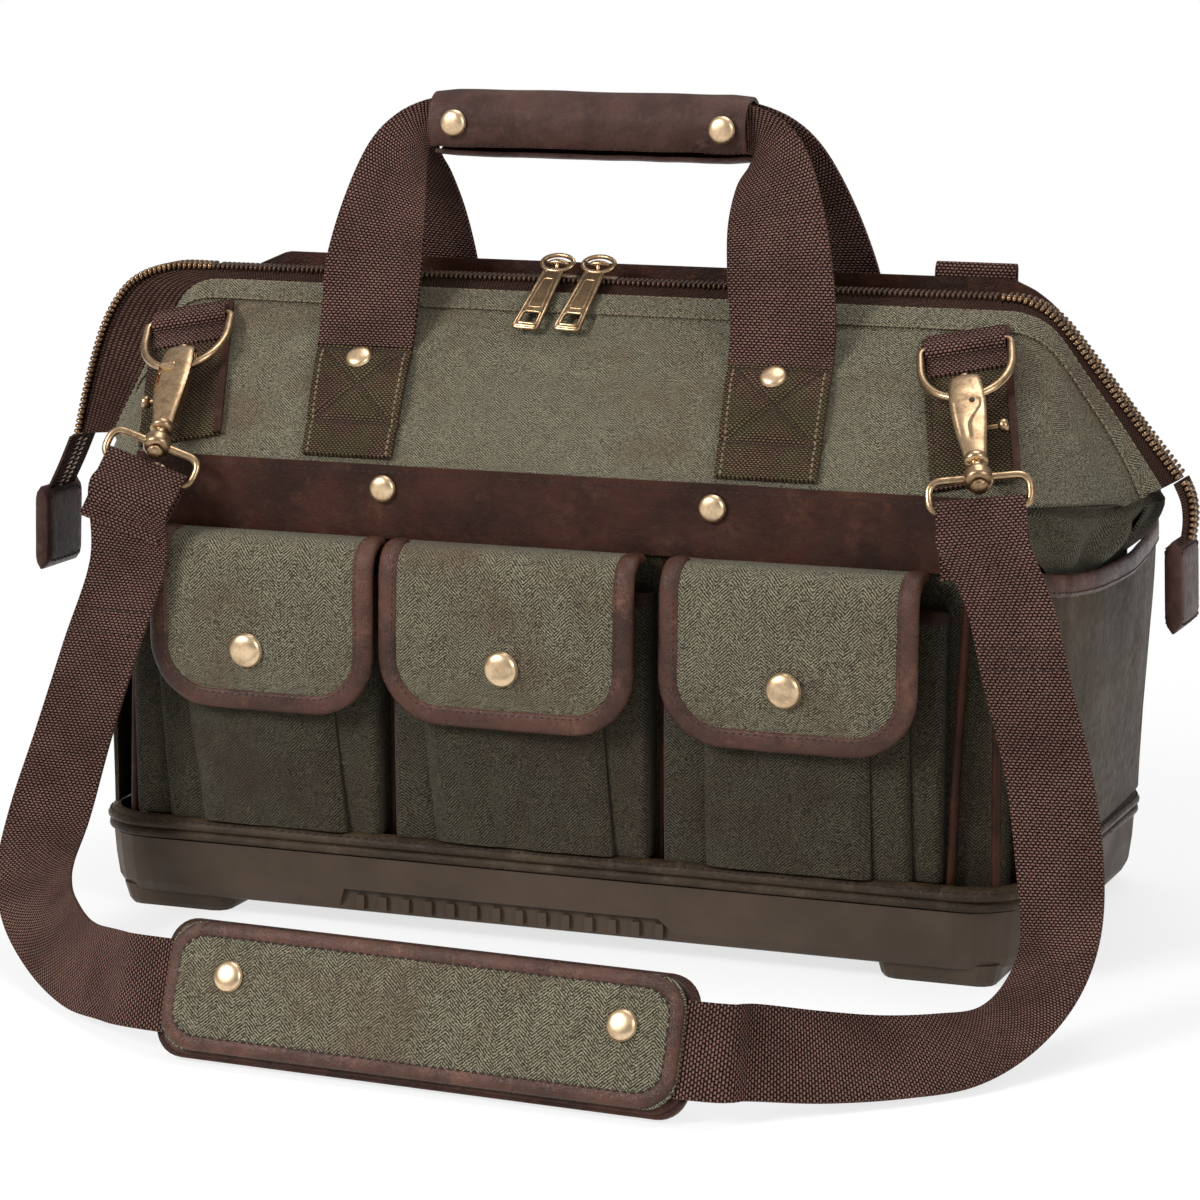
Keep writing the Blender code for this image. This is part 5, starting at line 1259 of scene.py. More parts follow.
def side_spot(sx, t, u):
    """A point of an end pocket, at shares t up it and u round it."""
    angle = u * POCKET_TURN
    wrap = math.sin(angle) / math.sin(POCKET_TURN)
    y = 0.005 + 0.104 * wrap
    least = math.cos(POCKET_TURN)
    bulge = (math.cos(angle) - least) / (1 - least)
    out = (0.003 + 0.0145 * math.sin(t * math.pi / 2)) * bulge ** 0.75
    top = 0.184 - 0.009 * bulge
    z = WELT_TOP + GAP + (top - WELT_TOP - GAP) * t
    free = bulge ** 0.5 * smooth(t * 3)
    crease = 0.0016 * math.exp(-((abs(u) - 0.8) / 0.035) ** 2)
    crease += 0.001 * math.exp(-((abs(u) - 0.66) / 0.03) ** 2)
    wave = free * (0.0011 * ripple((y * 1.6, 0, z * 0.5), 0.04, 4.0) - crease)
    return Vector((sx * (SIDE_X + 0.0022 + out + wave), y, z))


def make_side_pockets():
    for side, sx in (("left", -1), ("right", 1)):
        grid = [[side_spot(sx, t, -1 + 2 * k / 72) for k in range(73)] for t in np.linspace(0.0, 1.0, 46)]
        panel = Surface(grid, 0.0018, flip=sx < 0)
        keep(panel.build("side_pocket_%s_look" % side, SIDE), "body", "waxed_side", "side_pocket_" + side)
        found = [panel.at(0.972, k / 140, -0.0009) for k in range(141)]
        path, normals = [p for p, _ in found], [n for _, n in found]
        keep(sweep("side_rim_" + side, path, normals, oval(0.0052, 0.0022), BINDING), "body", "leather")
        corners = [(0.951, 0.02), (0.951, 0.98)]
        sew("side_rim_%s_stitches" % side, panel, corners, "body", "leather", lift=0.0012, steps=140)


# Strap and pad
RING_CHAIN = {"left": math.radians(11.0), "right": math.radians(19.0)}
HOOK_TIP_OUT, SWIVEL_AT, LOOP_TALL = 0.08, 0.0545, 0.014
LOOP_TILT = {"left": math.radians(-27.0), "right": math.radians(-5.5)}
PAD_AT = Vector((-0.084, -0.337, 0.0022))
PAD_ALONG = Vector((0.9987, -0.05, 0.0)).normalized()
PAD_RISE = Vector((0.0, 0.375, 0.927)).normalized()
PAD_SIZE = (0.239, 0.058)
STRAP_IN_PAD = 0.0285
STRAP_LEFT = (
    ((-0.2135, -0.1365, 0.17), (-0.1755, -0.1355, 0.168)),
    ((-0.225, -0.143, 0.131), (-0.187, -0.142, 0.13)),
    ((-0.236, -0.152, 0.09), (-0.198, -0.15, 0.089)),
    ((-0.24, -0.171, 0.057), (-0.203, -0.163, 0.054)),
    ((-0.23, -0.203, 0.035), (-0.199, -0.186, 0.04)),
    ((-0.209, -0.235, 0.02), (-0.187, -0.212, 0.037)),
    ((-0.18, -0.265, 0.009), (-0.17, -0.24, 0.037)),
    ((-0.149, -0.292, 0.004), (-0.145, -0.273, 0.0375)),
    ((-0.122, -0.312, 0.006), (-0.12, -0.296, 0.0415)),
)
STRAP_RIGHT = (
    ((0.244, -0.138, 0.179), (0.206, -0.139, 0.176)),
    ((0.254, -0.143, 0.146), (0.216, -0.145, 0.144)),
    ((0.266, -0.149, 0.106), (0.228, -0.15, 0.105)),
    ((0.274, -0.16, 0.069), (0.236, -0.159, 0.067)),
    ((0.277, -0.179, 0.044), (0.241, -0.168, 0.04)),
    ((0.274, -0.205, 0.025), (0.24, -0.186, 0.026)),
    ((0.264, -0.235, 0.011), (0.235, -0.211, 0.02)),
    ((0.249, -0.265, 0.004), (0.226, -0.243, 0.025)),
    ((0.227, -0.29, 0.0036), (0.21, -0.27, 0.03)),
    ((0.201, -0.312, 0.0048), (0.192, -0.295, 0.037)),
    ((0.176, -0.33, 0.008), (0.172, -0.314, 0.043)),
)


def hook_frame(name):
    """The hook's own axes: down its spine, across it to the outer side, and out from the panel."""
    origin, up, _ = ring_frame(name)
    at = origin - up * RING_DEEP + OUT * RING_OFF[1]
    lean_by = RING_CHAIN[name]
    down = (Vector((math.sin(lean_by), 0.0, 0.0)) - UP * math.cos(lean_by) + OUT * HOOK_TIP_OUT).normalized()
    across = down.cross(OUT).normalized()
    if across.x * (-1 if name == "left" else 1) < 0:
        across = -across
    out = across.cross(down)
    if out.dot(OUT) < 0:
        out = -out
    return at, down, across, out


def loop_frame(name, across):
    """Along the rectangular loop's bars, and down it."""
    bar = across if across.x > 0 else -across
    bar = (Matrix.Rotation(-LOOP_TILT[name], 3, "Y") @ bar).normalized()
    drop = Vector((0.0, -0.4, -0.92))
    return bar, (drop - bar * drop.dot(bar)).normalized()


STRAP_FOLD = (
    (0.03, -0.0016), (0.018, -0.001), (0.006, 0.002), (0.0, 0.0038), (-0.0031, 0.0025),
    (-0.0041, 0.0), (-0.0031, -0.0026), (0.0, -0.0039), (0.008, -0.0048), (0.018, -0.0058),
)


def strap_end(name):
    """The strap's two edges, folded round the rectangular loop's lower bar."""
    at, down, across, out = hook_frame(name)
    bar, drop = loop_frame(name, across)
    centre = at + down * SWIVEL_AT + out * 0.0004 + drop * LOOP_TALL
    back = drop.cross(bar)
    back = back if back.y > 0 else -back
    outer = -bar if name == "left" else bar
    lines = []
    for half in (STRAP_WIDTH / 2, -STRAP_WIDTH / 2):
        lines.append([centre + outer * half + drop * a + back * b for a, b in STRAP_FOLD])
    return lines


# Hardware: rings, snap hooks, swivel loops, zip sliders and pulls
def solid(name, parts, material, sharp=50.0):
    """One mesh of several closed shapes, each turned right side out."""
    verts, faces = [], []
    for points, plan in parts:
        base = len(verts)
        verts += [tuple(p) for p in points]
        faces += [tuple(base + k for k in face) for face in plan]
    made = add_mesh(name, verts, faces, material, sharp=sharp)
    work = bmesh.new()
    work.from_mesh(made.data)
    bmesh.ops.recalc_face_normals(work, faces=work.faces)
    work.to_mesh(made.data)
    work.free()
    return made


def skin(rings, closed=False):
    """The points of the rings, and the faces over them."""
    return [p for ring in rings for p in ring], ring_faces(len(rings), len(rings[0]), closed)


def lathe(profile, at, axis, sides=28):
    """A turned shape from (radius, distance along the axis) pairs."""
    axis = Vector(axis).normalized()
    one = axis.orthogonal().normalized()
    two = axis.cross(one)
    rings = []
    for r, t in profile:
        rings.append([at + axis * t + (one * math.cos(a) + two * math.sin(a)) * r for a in turns(sides)])
    return skin(rings)


def rod(path, radius, normal, closed=False, sides=14, flat=1.0):
    """Round wire along a path that lies across the normal; flat squeezes it along that normal."""
    path = [Vector(p) for p in path]
    count = len(path)
    rings = []
    for i, p in enumerate(path):
        ahead = path[(i + 1) % count] if closed else path[min(i + 1, count - 1)]
        behind = path[i - 1] if closed else path[max(i - 1, 0)]
        along = (ahead - behind).normalized()
        lift = (Vector(normal) - along * along.dot(Vector(normal))).normalized()
        side = along.cross(lift)
        ring = []
        for a in turns(sides):
            ring.append(p + side * math.cos(a) * radius + lift * math.sin(a) * radius * flat)
        rings.append(ring)
    return skin(rings, closed)


def round_corners(corners, radius, steps=8):
    """A closed flat line through the corners with each one rounded, in two numbers a point."""
    made = []
    count = len(corners)
    for i in range(count):
        before, here, after = (np.array(corners[(i + k) % count], float) for k in (-1, 0, 1))
        r = min(radius, np.linalg.norm(before - here) * 0.48, np.linalg.norm(after - here) * 0.48)
        start = here + unit(before - here) * r
        end = here + unit(after - here) * r
        for k in range(steps + 1):
            t = k / steps
            made.append(tuple(start * (1 - t) ** 2 + here * 2 * t * (1 - t) + end * t * t))
    return made


def make_cap(node, body):
    """A smooth domed cap in the place of a rivet or a snap."""
    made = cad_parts[node]
    points = np.array([tuple(made.matrix_world @ v.co) for v in made.data.vertices]) - np.array(SHIFT)
    centre = (points.max(axis=0) + points.min(axis=0)) / 2
    spread = np.linalg.svd(points - points.mean(axis=0), full_matrices=False)[2]
    heights = [(points - centre) @ axis for axis in spread]
    spans = [h.max() - h.min() for h in heights]
    axis = spread[int(np.argmin(spans))]
    axis = axis if axis[1] * (1 if "back" in node else -1) > 0 else -axis
    along = (points - centre) @ axis
    centre = centre + axis * along.min()
    tall = along.max() - along.min()
    off = points - centre
    radius = np.linalg.norm(off - np.outer(off @ axis, axis), axis=1).max()
    profile = [(0.96, 0.0), (1.0, 0.1), (1.0, 0.24), (0.96, 0.36), (0.955, 0.4), (0.9, 0.56), (0.8, 0.72)]
    profile += [(0.64, 0.86), (0.44, 0.95), (0.22, 0.99), (0.04, 1.0)]
    shape = lathe([(r * radius, h * tall) for r, h in profile], Vector(centre), axis, 36)
    return keep(solid(node + "_cap", [shape], CAP, 30.0), body, "brass", node)


def make_caps():
    """Every rivet's and snap's cap; those of the pad are also given back."""
    for node in sorted(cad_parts):
        if node.startswith("band_rivet"):
            make_cap(node, "body")
        elif node.startswith("handle_rivet"):
            make_cap(node, "front_half" if "front" in node else "back_half")
        elif node.startswith("flap_snap"):
            make_cap(node, node.replace("flap_snap", "flap"))
        elif node.startswith("grip_snap"):
            make_cap(node, "grip_flap")
    return [make_cap("pad_rivet_" + side, "body") for side in ("left", "right")]


def make_rings():
    """The D-rings: a straight bar with rounded corners and a deep bow."""
    straight = 0.013
    corners = [(-RING_HALF, straight), (-RING_HALF, 0.0), (RING_HALF, 0.0), (RING_HALF, straight)]
    line = round_corners(corners, 0.0035)[9:27]
    for k in range(41):
        a = math.pi * k / 40
        line.append((RING_HALF * math.cos(a), straight + (RING_DEEP - straight) * math.sin(a) ** 0.92))
    for name in ("left", "right"):
        origin, up, along = ring_frame(name)
        bar = origin + OUT * RING_OFF[0]
        down = (origin - up * RING_DEEP + OUT * RING_OFF[1] - bar).normalized()
        path = even([bar + along * b + down * a for b, a in line + line[:1]], 0.0014)[:-1]
        ring = solid("ring_%s_look" % name, [rod(path, 0.002, along.cross(down), True, 16)], BRASS)
        keep(ring, "ring_" + name, "brass", "ring_" + name)


SPINE = (
    (0.006, -0.0035, 0.0046),
    (-0.002, -0.0037, 0.0056),
    (-0.009, -0.0033, 0.006),
    (-0.0122, -0.0002, 0.0062),
    (-0.0096, 0.0036, 0.0066),
    (-0.003, 0.0047, 0.0074),
    (0.008, 0.0048, 0.008),
    (0.023, 0.004, 0.0072),
    (0.037, 0.002, 0.0054),
    (0.0455, 0.0004, 0.0046),
)


def hook_section(name, a, half, front):
    """The hook's outline across: a crowned face with side walls turned back, and its worn recess."""
    ends = smooth((a - 0.006) / 0.004) * smooth((0.043 - a) / 0.008) if front else 0.0
    inner_wall = 0.0013 + 0.0042 * ends
    gap = smooth((a - 0.012) / 0.002) * smooth((0.033 - a) / 0.002)
    outer_wall = 0.0013 + 0.0042 * ends * (1 - gap)
    line = []
    for k in range(29):
        u = -1 + 2 * k / 28
        h = 0.0014 - 0.0006 * u * u - 0.0007 * abs(u) ** 9
        if front and name == "left":
            edge = mix(-0.05, 1.1, smooth((a - 0.011) / 0.015))
            h -= 0.0024 * smooth((u - edge) / 0.1) * smooth((a - 0.003) / 0.0015)
        if front and name == "right":
            edge = mix(0.62, -0.15, smooth((a - 0.01) / 0.014))
            shallow = smooth((a - 0.006) / 0.003) * smooth((0.033 - a) / 0.006)
            h -= 0.0006 * shallow * math.exp(-(((u - edge) / 0.13) ** 2))
            h -= 0.0003 * shallow * smooth((edge - u) / 0.2) * smooth((u + 0.85) / 0.15)
        line.append((half * u, h))
    for wall, sign in ((outer_wall, 1), (inner_wall, -1)):
        side = [(half, 0.0), (half, -wall + 0.0005), (half - 0.0004, -wall), (half - 0.001, -wall + 0.0002)]
        side += [(half - 0.0012, -0.0013), (half * 0.4, -0.0013)]
        side = [(sign * b, h) for b, h in side]
        line += side if sign > 0 else side[::-1]
    return line


NECK = (
    (0.003, -0.014), (0.005, -0.0132), (0.0054, -0.0118), (0.0054, -0.0102),
    (0.0048, -0.0094), (0.003, -0.0088), (0.003, -0.0052),
)
STEM = (
    (0.0019, -0.006), (0.0019, 0.0046), (0.0036, 0.0048), (0.004, 0.0056),
    (0.004, 0.0062), (0.0032, 0.0072), (0.0014, 0.0078),
)
NOSE_RIVET = ((0.0026, 0.0), (0.0026, 0.0008), (0.0021, 0.0015), (0.001, 0.0019))
WORN_HOLE = ((0.0013, 0.0), (0.0013, 0.0003), (0.001, 0.0004))
BOLT = (
    (0.0063, 0.002, -0.0044, -0.0028),
    (0.0072, 0.003, -0.0047, -0.002),
    (0.009, 0.0034, -0.0047, -0.0016),
    (0.028, 0.0034, -0.0047, -0.0016),
    (0.03, 0.0024, -0.0044, -0.002),
)
KNOB = (
    (0.0013, 0.0), (0.0013, 0.0104), (0.002, 0.0108), (0.0029, 0.0116),
    (0.0031, 0.0124), (0.0031, 0.0136), (0.0026, 0.0146), (0.0014, 0.015),
)
SWIVEL_EYE = (
    (0.0029, -0.004), (0.005, -0.0038), (0.0062, -0.0028), (0.0064, -0.0014), (0.0064, 0.0014),
    (0.0062, 0.0028), (0.005, 0.0038), (0.0029, 0.004), (0.0026, 0.003), (0.0026, -0.003),
)
LOOP_HALF, LOOP_ROUND = 0.022, 0.0062


def make_trigger(name, place, across):
    """The sliding bolt behind the hook's face, and its thumb knob."""
    bolt = []
    for a, half, c0, c1 in BOLT:
        corners = [(-half, c0), (half, c0), (half, c1), (-half, c1)]
        bolt.append([place(a, b, c) for b, c in round_corners(corners, 0.0009, 4)])
    knob = lathe(KNOB, place(0.019, 0.001, -0.0032), across)
    trigger = solid("trigger_%s_look" % name, [skin(bolt), knob], BRASS)
    keep(trigger, "trigger_" + name, "brass", "trigger_" + name)


def make_swivel(name, end, down, across):
    """The swivel's eye with its open bore, and the rectangular loop through it."""
    bar, drop = loop_frame(name, across)
    corners = [(-LOOP_HALF, 0.0), (LOOP_HALF, 0.0), (LOOP_HALF, LOOP_TALL), (-LOOP_HALF, LOOP_TALL)]
    line = (round_corners(corners, LOOP_ROUND) * 2)[:37]
    path = even([end + bar * b + drop * a for b, a in line], 0.0012)[:-1]
    wire = rod(path, 0.0018, bar.cross(drop), True, 16)
    points, faces = lathe(SWIVEL_EYE, end, down)
    size = len(points) // len(SWIVEL_EYE)
    faces = [face for face in faces if len(face) == 4]
    last = len(points) - size
    faces += [(last + k, last + (k + 1) % size, (k + 1) % size, k) for k in range(size)]
    swivel = solid("swivel_%s_look" % name, [wire, (points, faces)], BRASS)
    keep(swivel, "swivel_" + name, "brass", "swivel_" + name)


def make_hook(name):
    """The hook's crowned body along its spine, with its neck, stem and rivet, then what moves on it."""
    at, down, across, out = hook_frame(name)

    def place(a, b, c):
        return at + down * a + across * b + out * c

    rows = spline([Vector(row) for row in SPINE], 14)
    rings = []
    for i, row in enumerate(rows):
        step = rows[min(i + 1, len(rows) - 1)] - rows[max(i - 1, 0)]
        run = math.hypot(step.x, step.y)
        da, dc = step.x / run, step.y / run
        section = hook_section(name, row.x, row.z, da > 0.3 and row.x > -0.004)
        rings.append([place(row.x - dc * h, b, row.y + da * h) for b, h in section])
    end = place(SWIVEL_AT, 0, 0.0004)
    rivet = lathe(NOSE_RIVET, place(-0.0126, 0, 0.0012), (out * 0.5 - down).normalized(), 20)
    parts = [skin(rings), lathe(NECK, end, down), lathe(STEM, end, down), rivet]
    keep(solid("hook_%s_look" % name, parts, BRASS, 38.0), "hook_" + name, "brass", "hook_" + name)
    if name == "right":
        # A dark disc on the face: painted shade for the worn hole
        hole = lathe(WORN_HOLE, place(0.0085, 0.0022, 0.0059), out, 18)
        keep(solid("hook_right_hole", [hole], GAPS), "hook_right", "brass")
    make_trigger(name, place, across)
    make_swivel(name, end, down, across)


SLIDER_TOP = (
    (0.0072, 0.0046, 0.0008),
    (0.0082, 0.0055, 0.0012),
    (0.0085, 0.0058, 0.0017),
    (0.008, 0.0053, 0.0021),
    (0.006, 0.0036, 0.0022),
)
SLIDER_LOW = ((0.007, 0.0032, -0.0062), (0.008, 0.0038, -0.0056), (0.008, 0.0038, -0.0044))
SLIDER_WEDGE = ((0.0032, 0.0008, -0.005), (0.0032, 0.0008, 0.0015))
SLIDER_NECK = ((-0.0026, 0.002), (-0.0034, 0.005), (-0.0028, 0.0078))
PULL_SLOPE = math.radians(38.0)
PULL_RIMS = (
    ([(0.002, -0.0042), (0.0408, -0.0061), (0.0408, 0.0061), (0.002, 0.0042)], 0.0022, 0.0002, 0.001, 12),
    ([(0.03, -0.0043), (0.038, -0.0047), (0.038, 0.0047), (0.03, 0.0043)], 0.0016, 0.0003, 0.0008, 10),
    ([(0.008, -0.0025), (0.0272, -0.0035), (0.0272, 0.0035), (0.008, 0.0025)], 0.0012, 0.0006, 0.00045, 8),
)
PULL_PLATE = ((0.0022, -0.004), (0.0298, -0.0054), (0.0298, 0.0054), (0.0022, 0.004))


def make_pull(name, x):
    """The tapered pull: its big eye, its raised rims and window, and the plate between them."""
    pivot = Vector((x, -0.0051, ZIP_Z + 0.006))
    down = Vector((-0.07, -math.cos(PULL_SLOPE), -math.sin(PULL_SLOPE))).normalized()
    across = (Vector((1.0, 0.0, 0.0)) - down * down.x).normalized()
    out = across.cross(down)
    out = out if out.z > 0 else -out

    def at(a, b, c=0.0002):
        return pivot + down * a + across * b + out * c

    eye = [at(-0.003 + 0.0054 * math.cos(t), 0.0079 * math.sin(t)) for t in np.linspace(0, math.tau, 49)[:-1]]
    rims = [rod(eye, 0.0011, out, True, 12)]
    for corners, bend, level, radius, sides in PULL_RIMS:
        rims.append(rod([at(a, b, level) for a, b in round_corners(corners, bend)], radius, out, True, sides))
    rims.append(rod([at(0.0394, b) for b in np.linspace(-0.005, 0.005, 9)], 0.0013, out, flat=0.8))
    keep(solid("pull_%s_rims" % name, rims, BRASS), "pull_" + name, "brass", "zip_pull_" + name)
    plate = [[at(a, b, c) for a, b in PULL_PLATE] for c in (-0.0005, 0.0007)]
    keep(solid("pull_%s_plate" % name, [skin(plate)], PULL), "pull_" + name, "brass")


def make_slider(name, x):
    """The slider's domed plate, wedge and lower plate, with an almond bridge that holds the pull."""
    parts = []
    for levels, steps, power in ((SLIDER_TOP, 36, 2.8), (SLIDER_LOW, 28, 3.0), (SLIDER_WEDGE, 12, 2.6)):
        rings = []
        for wide, deep, z in levels:
            rings.append([Vector((x + b, y, ZIP_Z + z)) for b, y in oval(wide, deep, steps, power)])
        parts.append(skin(rings))
    neck = [Vector((x, y, ZIP_Z + z)) for y, z in SLIDER_NECK]
    bridge = []
    top = ZIP_Z + 0.0086
    for k in range(13):
        t = -1 + 2 * k / 12
        swell = math.sqrt(max(0.03, 1 - t * t))
        ring = oval(0.0023 * swell, 0.0014 * swell, power=2.0)
        bridge.append([Vector((x + 0.0058 * t, -0.002 + b, top + h - 0.001 * t * t)) for b, h in ring])
    parts += [rod(spline(neck, 6), 0.0011, (1, 0, 0)), skin(bridge)]
    keep(solid("slider_%s_look" % name, parts, BRASS), "slider_" + name, "brass", "zip_slider_" + name)
    make_pull(name, x)


def hang(piece):
    """Bakes the piece's transform into its points; it is attached to no body."""
    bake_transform(piece)


def make_strap():
    """The strap from hook to hook through the pad, with the tacks that close its folded ends."""
    inside = [PAD_AT + PAD_ALONG * a + PAD_RISE * STRAP_IN_PAD for a in (0.0, PAD_SIZE[0] / 2, PAD_SIZE[0])]
    edges = []
    for n, offset in enumerate((-PAD_RISE * (STRAP_WIDTH / 2), PAD_RISE * (STRAP_WIDTH / 2))):
        line = strap_end("left")[n] + [Vector(pair[n]) for pair in STRAP_LEFT] + [p + offset for p in inside]
        edges.append(line + [Vector(pair[n]) for pair in reversed(STRAP_RIGHT)] + strap_end("right")[n][::-1])
    web = web_surface(*edges, 13, STRAP - 0.0002, True)
    strap = web.build("strap_look", WEBBING)
    hang(strap)
    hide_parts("strap")
    middle = web.points[:, 6] + np.array(SHIFT)
    tacks = []
    spans = len(edges[0]) - 1
    for name, at, step in (("left", 10.6 / spans, 0.25), ("right", 1 - 10.6 / spans, -0.25)):
        for n in range(2):
            v = at + n * step / spans
            corners = [(v, 0.03), (v, 0.97)]
            row = seam("strap_tack_%s_%d" % (name, n), web, corners, THREAD, 0.0001, thick=0.0006)
            hang(row)
            tacks.append(row)
    return strap, middle, tacks


PAD_CORNER, PAD_RINGS, PAD_TAPER = 0.013, 16, 0.8


def pad_outline(x0, x1, z0, z1):
    """The pad's rounded outline, about every 4 mm."""
    corners = []
    for cx, cz, start in ((x1, z1, 0), (x0, z1, 90), (x0, z0, 180), (x1, z0, 270)):
        mx = cx - PAD_CORNER if cx == x1 else cx + PAD_CORNER
        mz = cz - PAD_CORNER if cz == z1 else cz + PAD_CORNER
        for k in range(9):
            a = math.radians(start + 90.0 * k / 8)
            corners.append((mx + PAD_CORNER * math.cos(a), mz + PAD_CORNER * math.sin(a)))
    line = []
    for (ax, az), (bx, bz) in zip(corners, corners[1:] + corners[:1]):
        steps = max(1, int(round(math.hypot(bx - ax, bz - az) / 0.004)))
        line += [(mix(ax, bx, k / steps), mix(az, bz, k / steps)) for k in range(steps)]
    return line


def pad_layer(name, box, thin, thick, side, material):
    """One bound layer of the shoulder pad, its face swelling from a flat edge, and the lines for its trim."""
    x0, x1, z0, z1 = box
    line = pad_outline(*box)
    count = len(line)
    mx, mz = (x0 + x1) / 2, (z0 + z1) / 2
    face = PAD_ALONG.cross(PAD_RISE).normalized()
    face = -face if face.y > 0 else face

    def spot(x, z, depth):
        return PAD_AT + PAD_ALONG * x + PAD_RISE * z + face * (side * (STRAP / 2 + GAP + depth))

    def inset(by, depth):
        sx, sz = 1 - by / ((x1 - x0) / 2), 1 - by / ((z1 - z0) / 2)
        return [spot(mx + (x - mx) * sx, mz + (z - mz) * sz, depth) for x, z in line]

    verts, uvs = [], []
    for t in np.linspace(0.0, 1.0, PAD_RINGS):
        swell = thin + (thick - thin) * smooth(t * 3.2)
        for x, z in line:
            px, pz = mix(x, mx + (x - mx) * PAD_TAPER, t), mix(z, mz, t)
            verts.append(spot(px, pz, swell + 0.0005 * t * ripple((px, pz, side), 0.02, 3.0)))
            uvs.append((mx + (x - mx) * mix(1, PAD_TAPER, t), pz))
    verts += [spot(x, z, 0.0) for x, z in line]
    faces = ring_faces(PAD_RINGS, count, caps=False)
    under = PAD_RINGS * count
    for k in range(count):
        m = (k + 1) % count
        faces.append((k, under + k, under + m, m))
    faces.append(tuple(under + k for k in range(count))[::-1])
    if side < 0:
        faces = [plan[::-1] for plan in faces]
    made = add_mesh(name, verts, faces, material, uvs + line, 50.0)
    return made, inset(0.0036, thin * 0.9), inset(0.0058, thin * 0.9 + 0.0019), [face * side] * count


PAD_BASE = (0.0, PAD_SIZE[0], 0.0, PAD_SIZE[1])
PAD_COVER = (0.004, PAD_SIZE[0] - 0.004, 0.003, PAD_SIZE[1] - 0.0015)
PAD_LAYERS = (
    ("pad_base", PAD_BASE, 0.002, 0.0036, -1, BAND, "leather"),
    ("pad_cover", PAD_COVER, 0.0016, 0.0036, 1, OLIVE, "canvas"),
)


def make_pad():
    found = []
    for name, box, thin, thick, side, cloth, slot in PAD_LAYERS:
        made, path, inner, normals = pad_layer(name + "_look", box, thin, thick, side, cloth)
        keep(made, "body", slot, name)
        edge = sweep(name + "_binding", path, normals, oval(0.0036, 0.0021, power=2.4), BINDING, closed=True)
        keep(edge, "body", "leather")
        row = stitches(name + "_stitches", inner + inner[:1], normals + normals[:1], THREAD, thick=0.00045)
        keep(row, "body", "leather")
        found += [made, edge, row]
    return found


# Studio
WORLD_LOW, WORLD_HIGH = 0.1, 0.5


def floor_material():
    """A pale floor that the camera sees fade to white away from the bag."""
    s = Shader("floor", base_color=(0.93, 0.93, 0.93, 1.0), roughness=0.95, specular_ior_level=0.1)
    glow = s.add("ShaderNodeEmission", {"Color": (1.0, 1.0, 1.0, 1.0), "Strength": 1.0})
    far = s.add("ShaderNodeVectorMath", {0: s.spot()}, operation="LENGTH").outputs["Value"]
    seen = s.add("ShaderNodeLightPath")
    eye = s.math("MAXIMUM", seen.outputs["Is Camera Ray"], seen.outputs["Is Glossy Ray"])
    share = s.math("MULTIPLY", s.between(far, 0.3, 0.8, 0.74, 1.0), eye)
    mixed = s.add("ShaderNodeMixShader", {0: share, 1: s.surface.outputs[0], 2: glow.outputs[0]})
    output = s.tree.nodes["Material Output"]
    s.tree.links.new(mixed.outputs[0], output.inputs["Surface"])
    return s.material


LAMPS = (
    ("key", (-1.7, -2.4, 1.9), (0.0, 0.0, 0.15), 1.3, 92.0),
    ("fill", (2.4, -1.5, 1.4), (0.0, 0.0, 0.15), 1.4, 26.0),
    ("top", (0.1, 0.5, 2.8), (0.0, 0.0, 0.1), 1.6, 26.0),
)
LENS, SENSOR = 125.8, 36.0
AZIMUTH, ELEVATION, DISTANCE = math.radians(21.0), math.radians(10.3), 1.9972
LOOKS_AT = Vector((-0.0141, 0.0, 0.1402)) + SHIFT


def put(name, data):
    made = bpy.data.objects.new(name, data)
    bpy.context.scene.collection.objects.link(made)
    return made


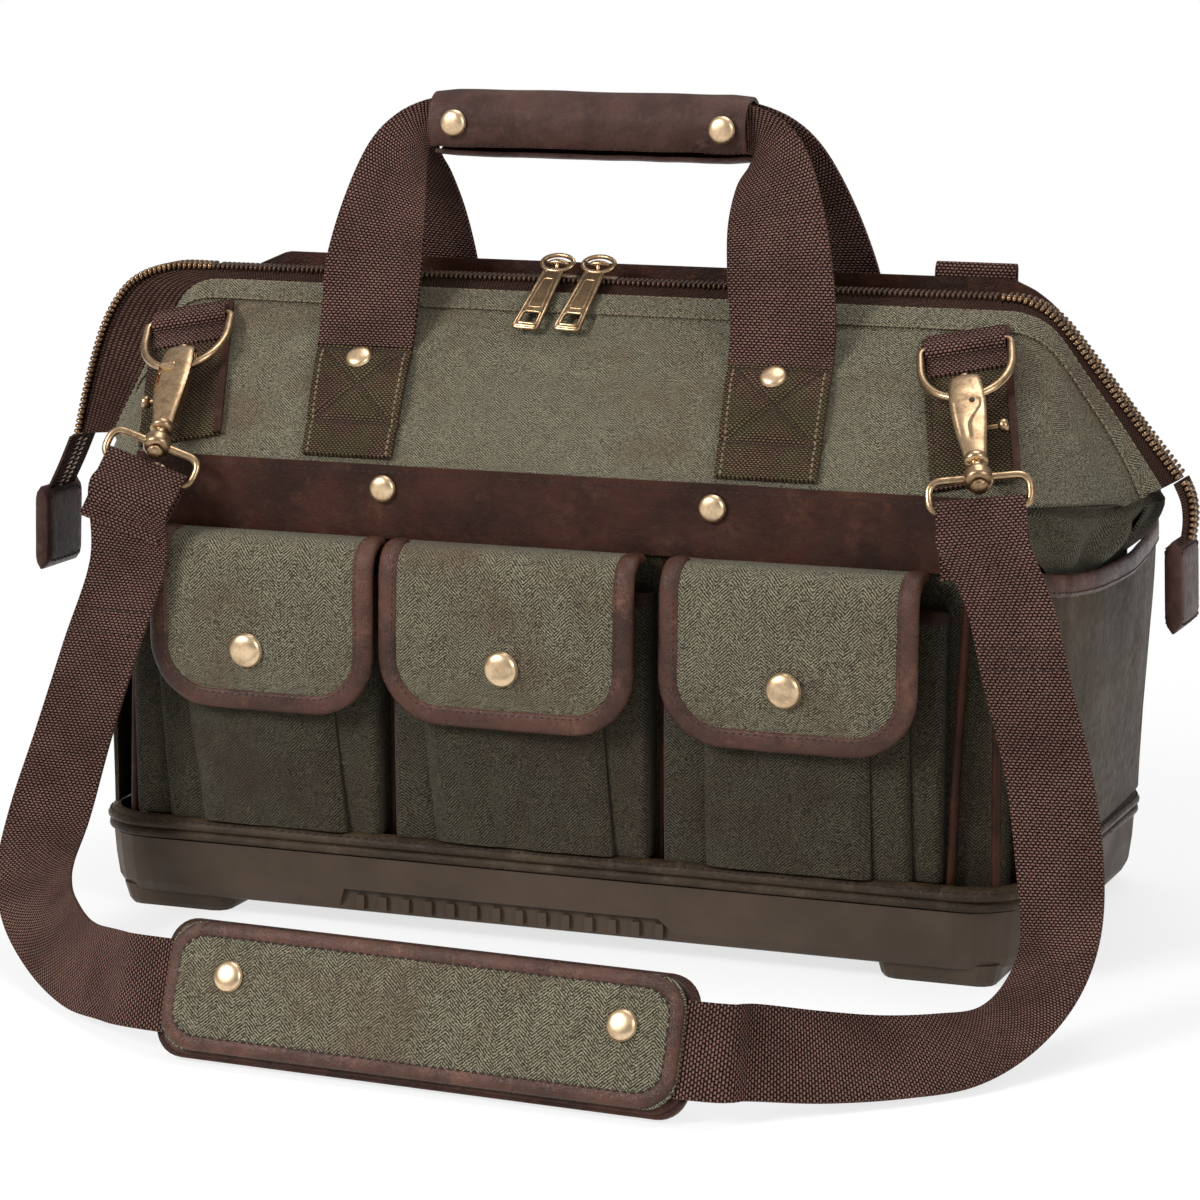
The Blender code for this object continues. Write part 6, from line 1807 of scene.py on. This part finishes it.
def make_world():
    """White light from all round, stronger from above."""
    world = bpy.data.worlds.new("studio")
    bpy.context.scene.world = world
    world.use_nodes = True
    tree = world.node_tree
    light = tree.nodes["Background"]
    light.inputs[0].default_value = (1.0, 1.0, 1.0, 1.0)
    place = tree.nodes.new("ShaderNodeTexCoord")
    parts = tree.nodes.new("ShaderNodeSeparateXYZ")
    level = tree.nodes.new("ShaderNodeMapRange")
    for key, value in (("From Min", 0.0), ("From Max", 0.7), ("To Min", WORLD_LOW), ("To Max", WORLD_HIGH)):
        level.inputs[key].default_value = value
    tree.links.new(place.outputs["Generated"], parts.inputs[0])
    tree.links.new(parts.outputs[2], level.inputs["Value"])
    tree.links.new(level.outputs[0], light.inputs[1])


def make_floor():
    mesh = bpy.data.meshes.new("floor")
    mesh.from_pydata([(-30, -30, 0), (30, -30, 0), (30, 60, 0), (-30, 60, 0)], [], [(0, 1, 2, 3)])
    ground = put("floor", mesh)
    mesh.materials.append(floor_material())


def make_lamps():
    for name, at, target, size, power in LAMPS:
        lamp = bpy.data.lights.new(name, "AREA")
        lamp.shape = "DISK"
        lamp.size = size
        lamp.energy = power
        made = put(name, lamp)
        made.location = at
        made.rotation_euler = (Vector(target) - Vector(at)).to_track_quat("-Z", "Y").to_euler()


def make_camera():
    camera = bpy.data.cameras.new("camera")
    camera.lens = LENS
    camera.sensor_width = SENSOR
    made = put("camera", camera)
    level = math.cos(ELEVATION)
    off = Vector((level * math.sin(AZIMUTH), -level * math.cos(AZIMUTH), math.sin(ELEVATION)))
    made.location = LOOKS_AT + off * DISTANCE
    made.rotation_euler = (-off).to_track_quat("-Z", "Y").to_euler()
    bpy.context.scene.camera = made
    bpy.context.scene.view_settings.view_transform = "Standard"


make_welt()
make_piping()
make_body()
make_pockets()
make_flaps()
make_band()
make_mouth("front")
make_mouth("back")
make_zip_ends()
make_gussets()
make_handles()
make_grip()
make_ring_tab("left")
make_ring_tab("right")
make_back_loop()
make_side_pockets()
pad_caps = make_caps()
make_rings()
make_hook("left")
make_hook("right")
make_slider("left", -0.0345)
make_slider("right", -0.0138)
strap, strap_path, strap_tacks = make_strap()
pad_pieces = make_pad()
tuple(strap_path[4])
round(float(run_of(strap_path)[-1]), 3)
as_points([tuple(p) for p in strap_path[::3]] + [tuple(strap_path[-1])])
for layer in pad_pieces[::3]:
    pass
make_world()
make_floor()
make_lamps()
make_camera()
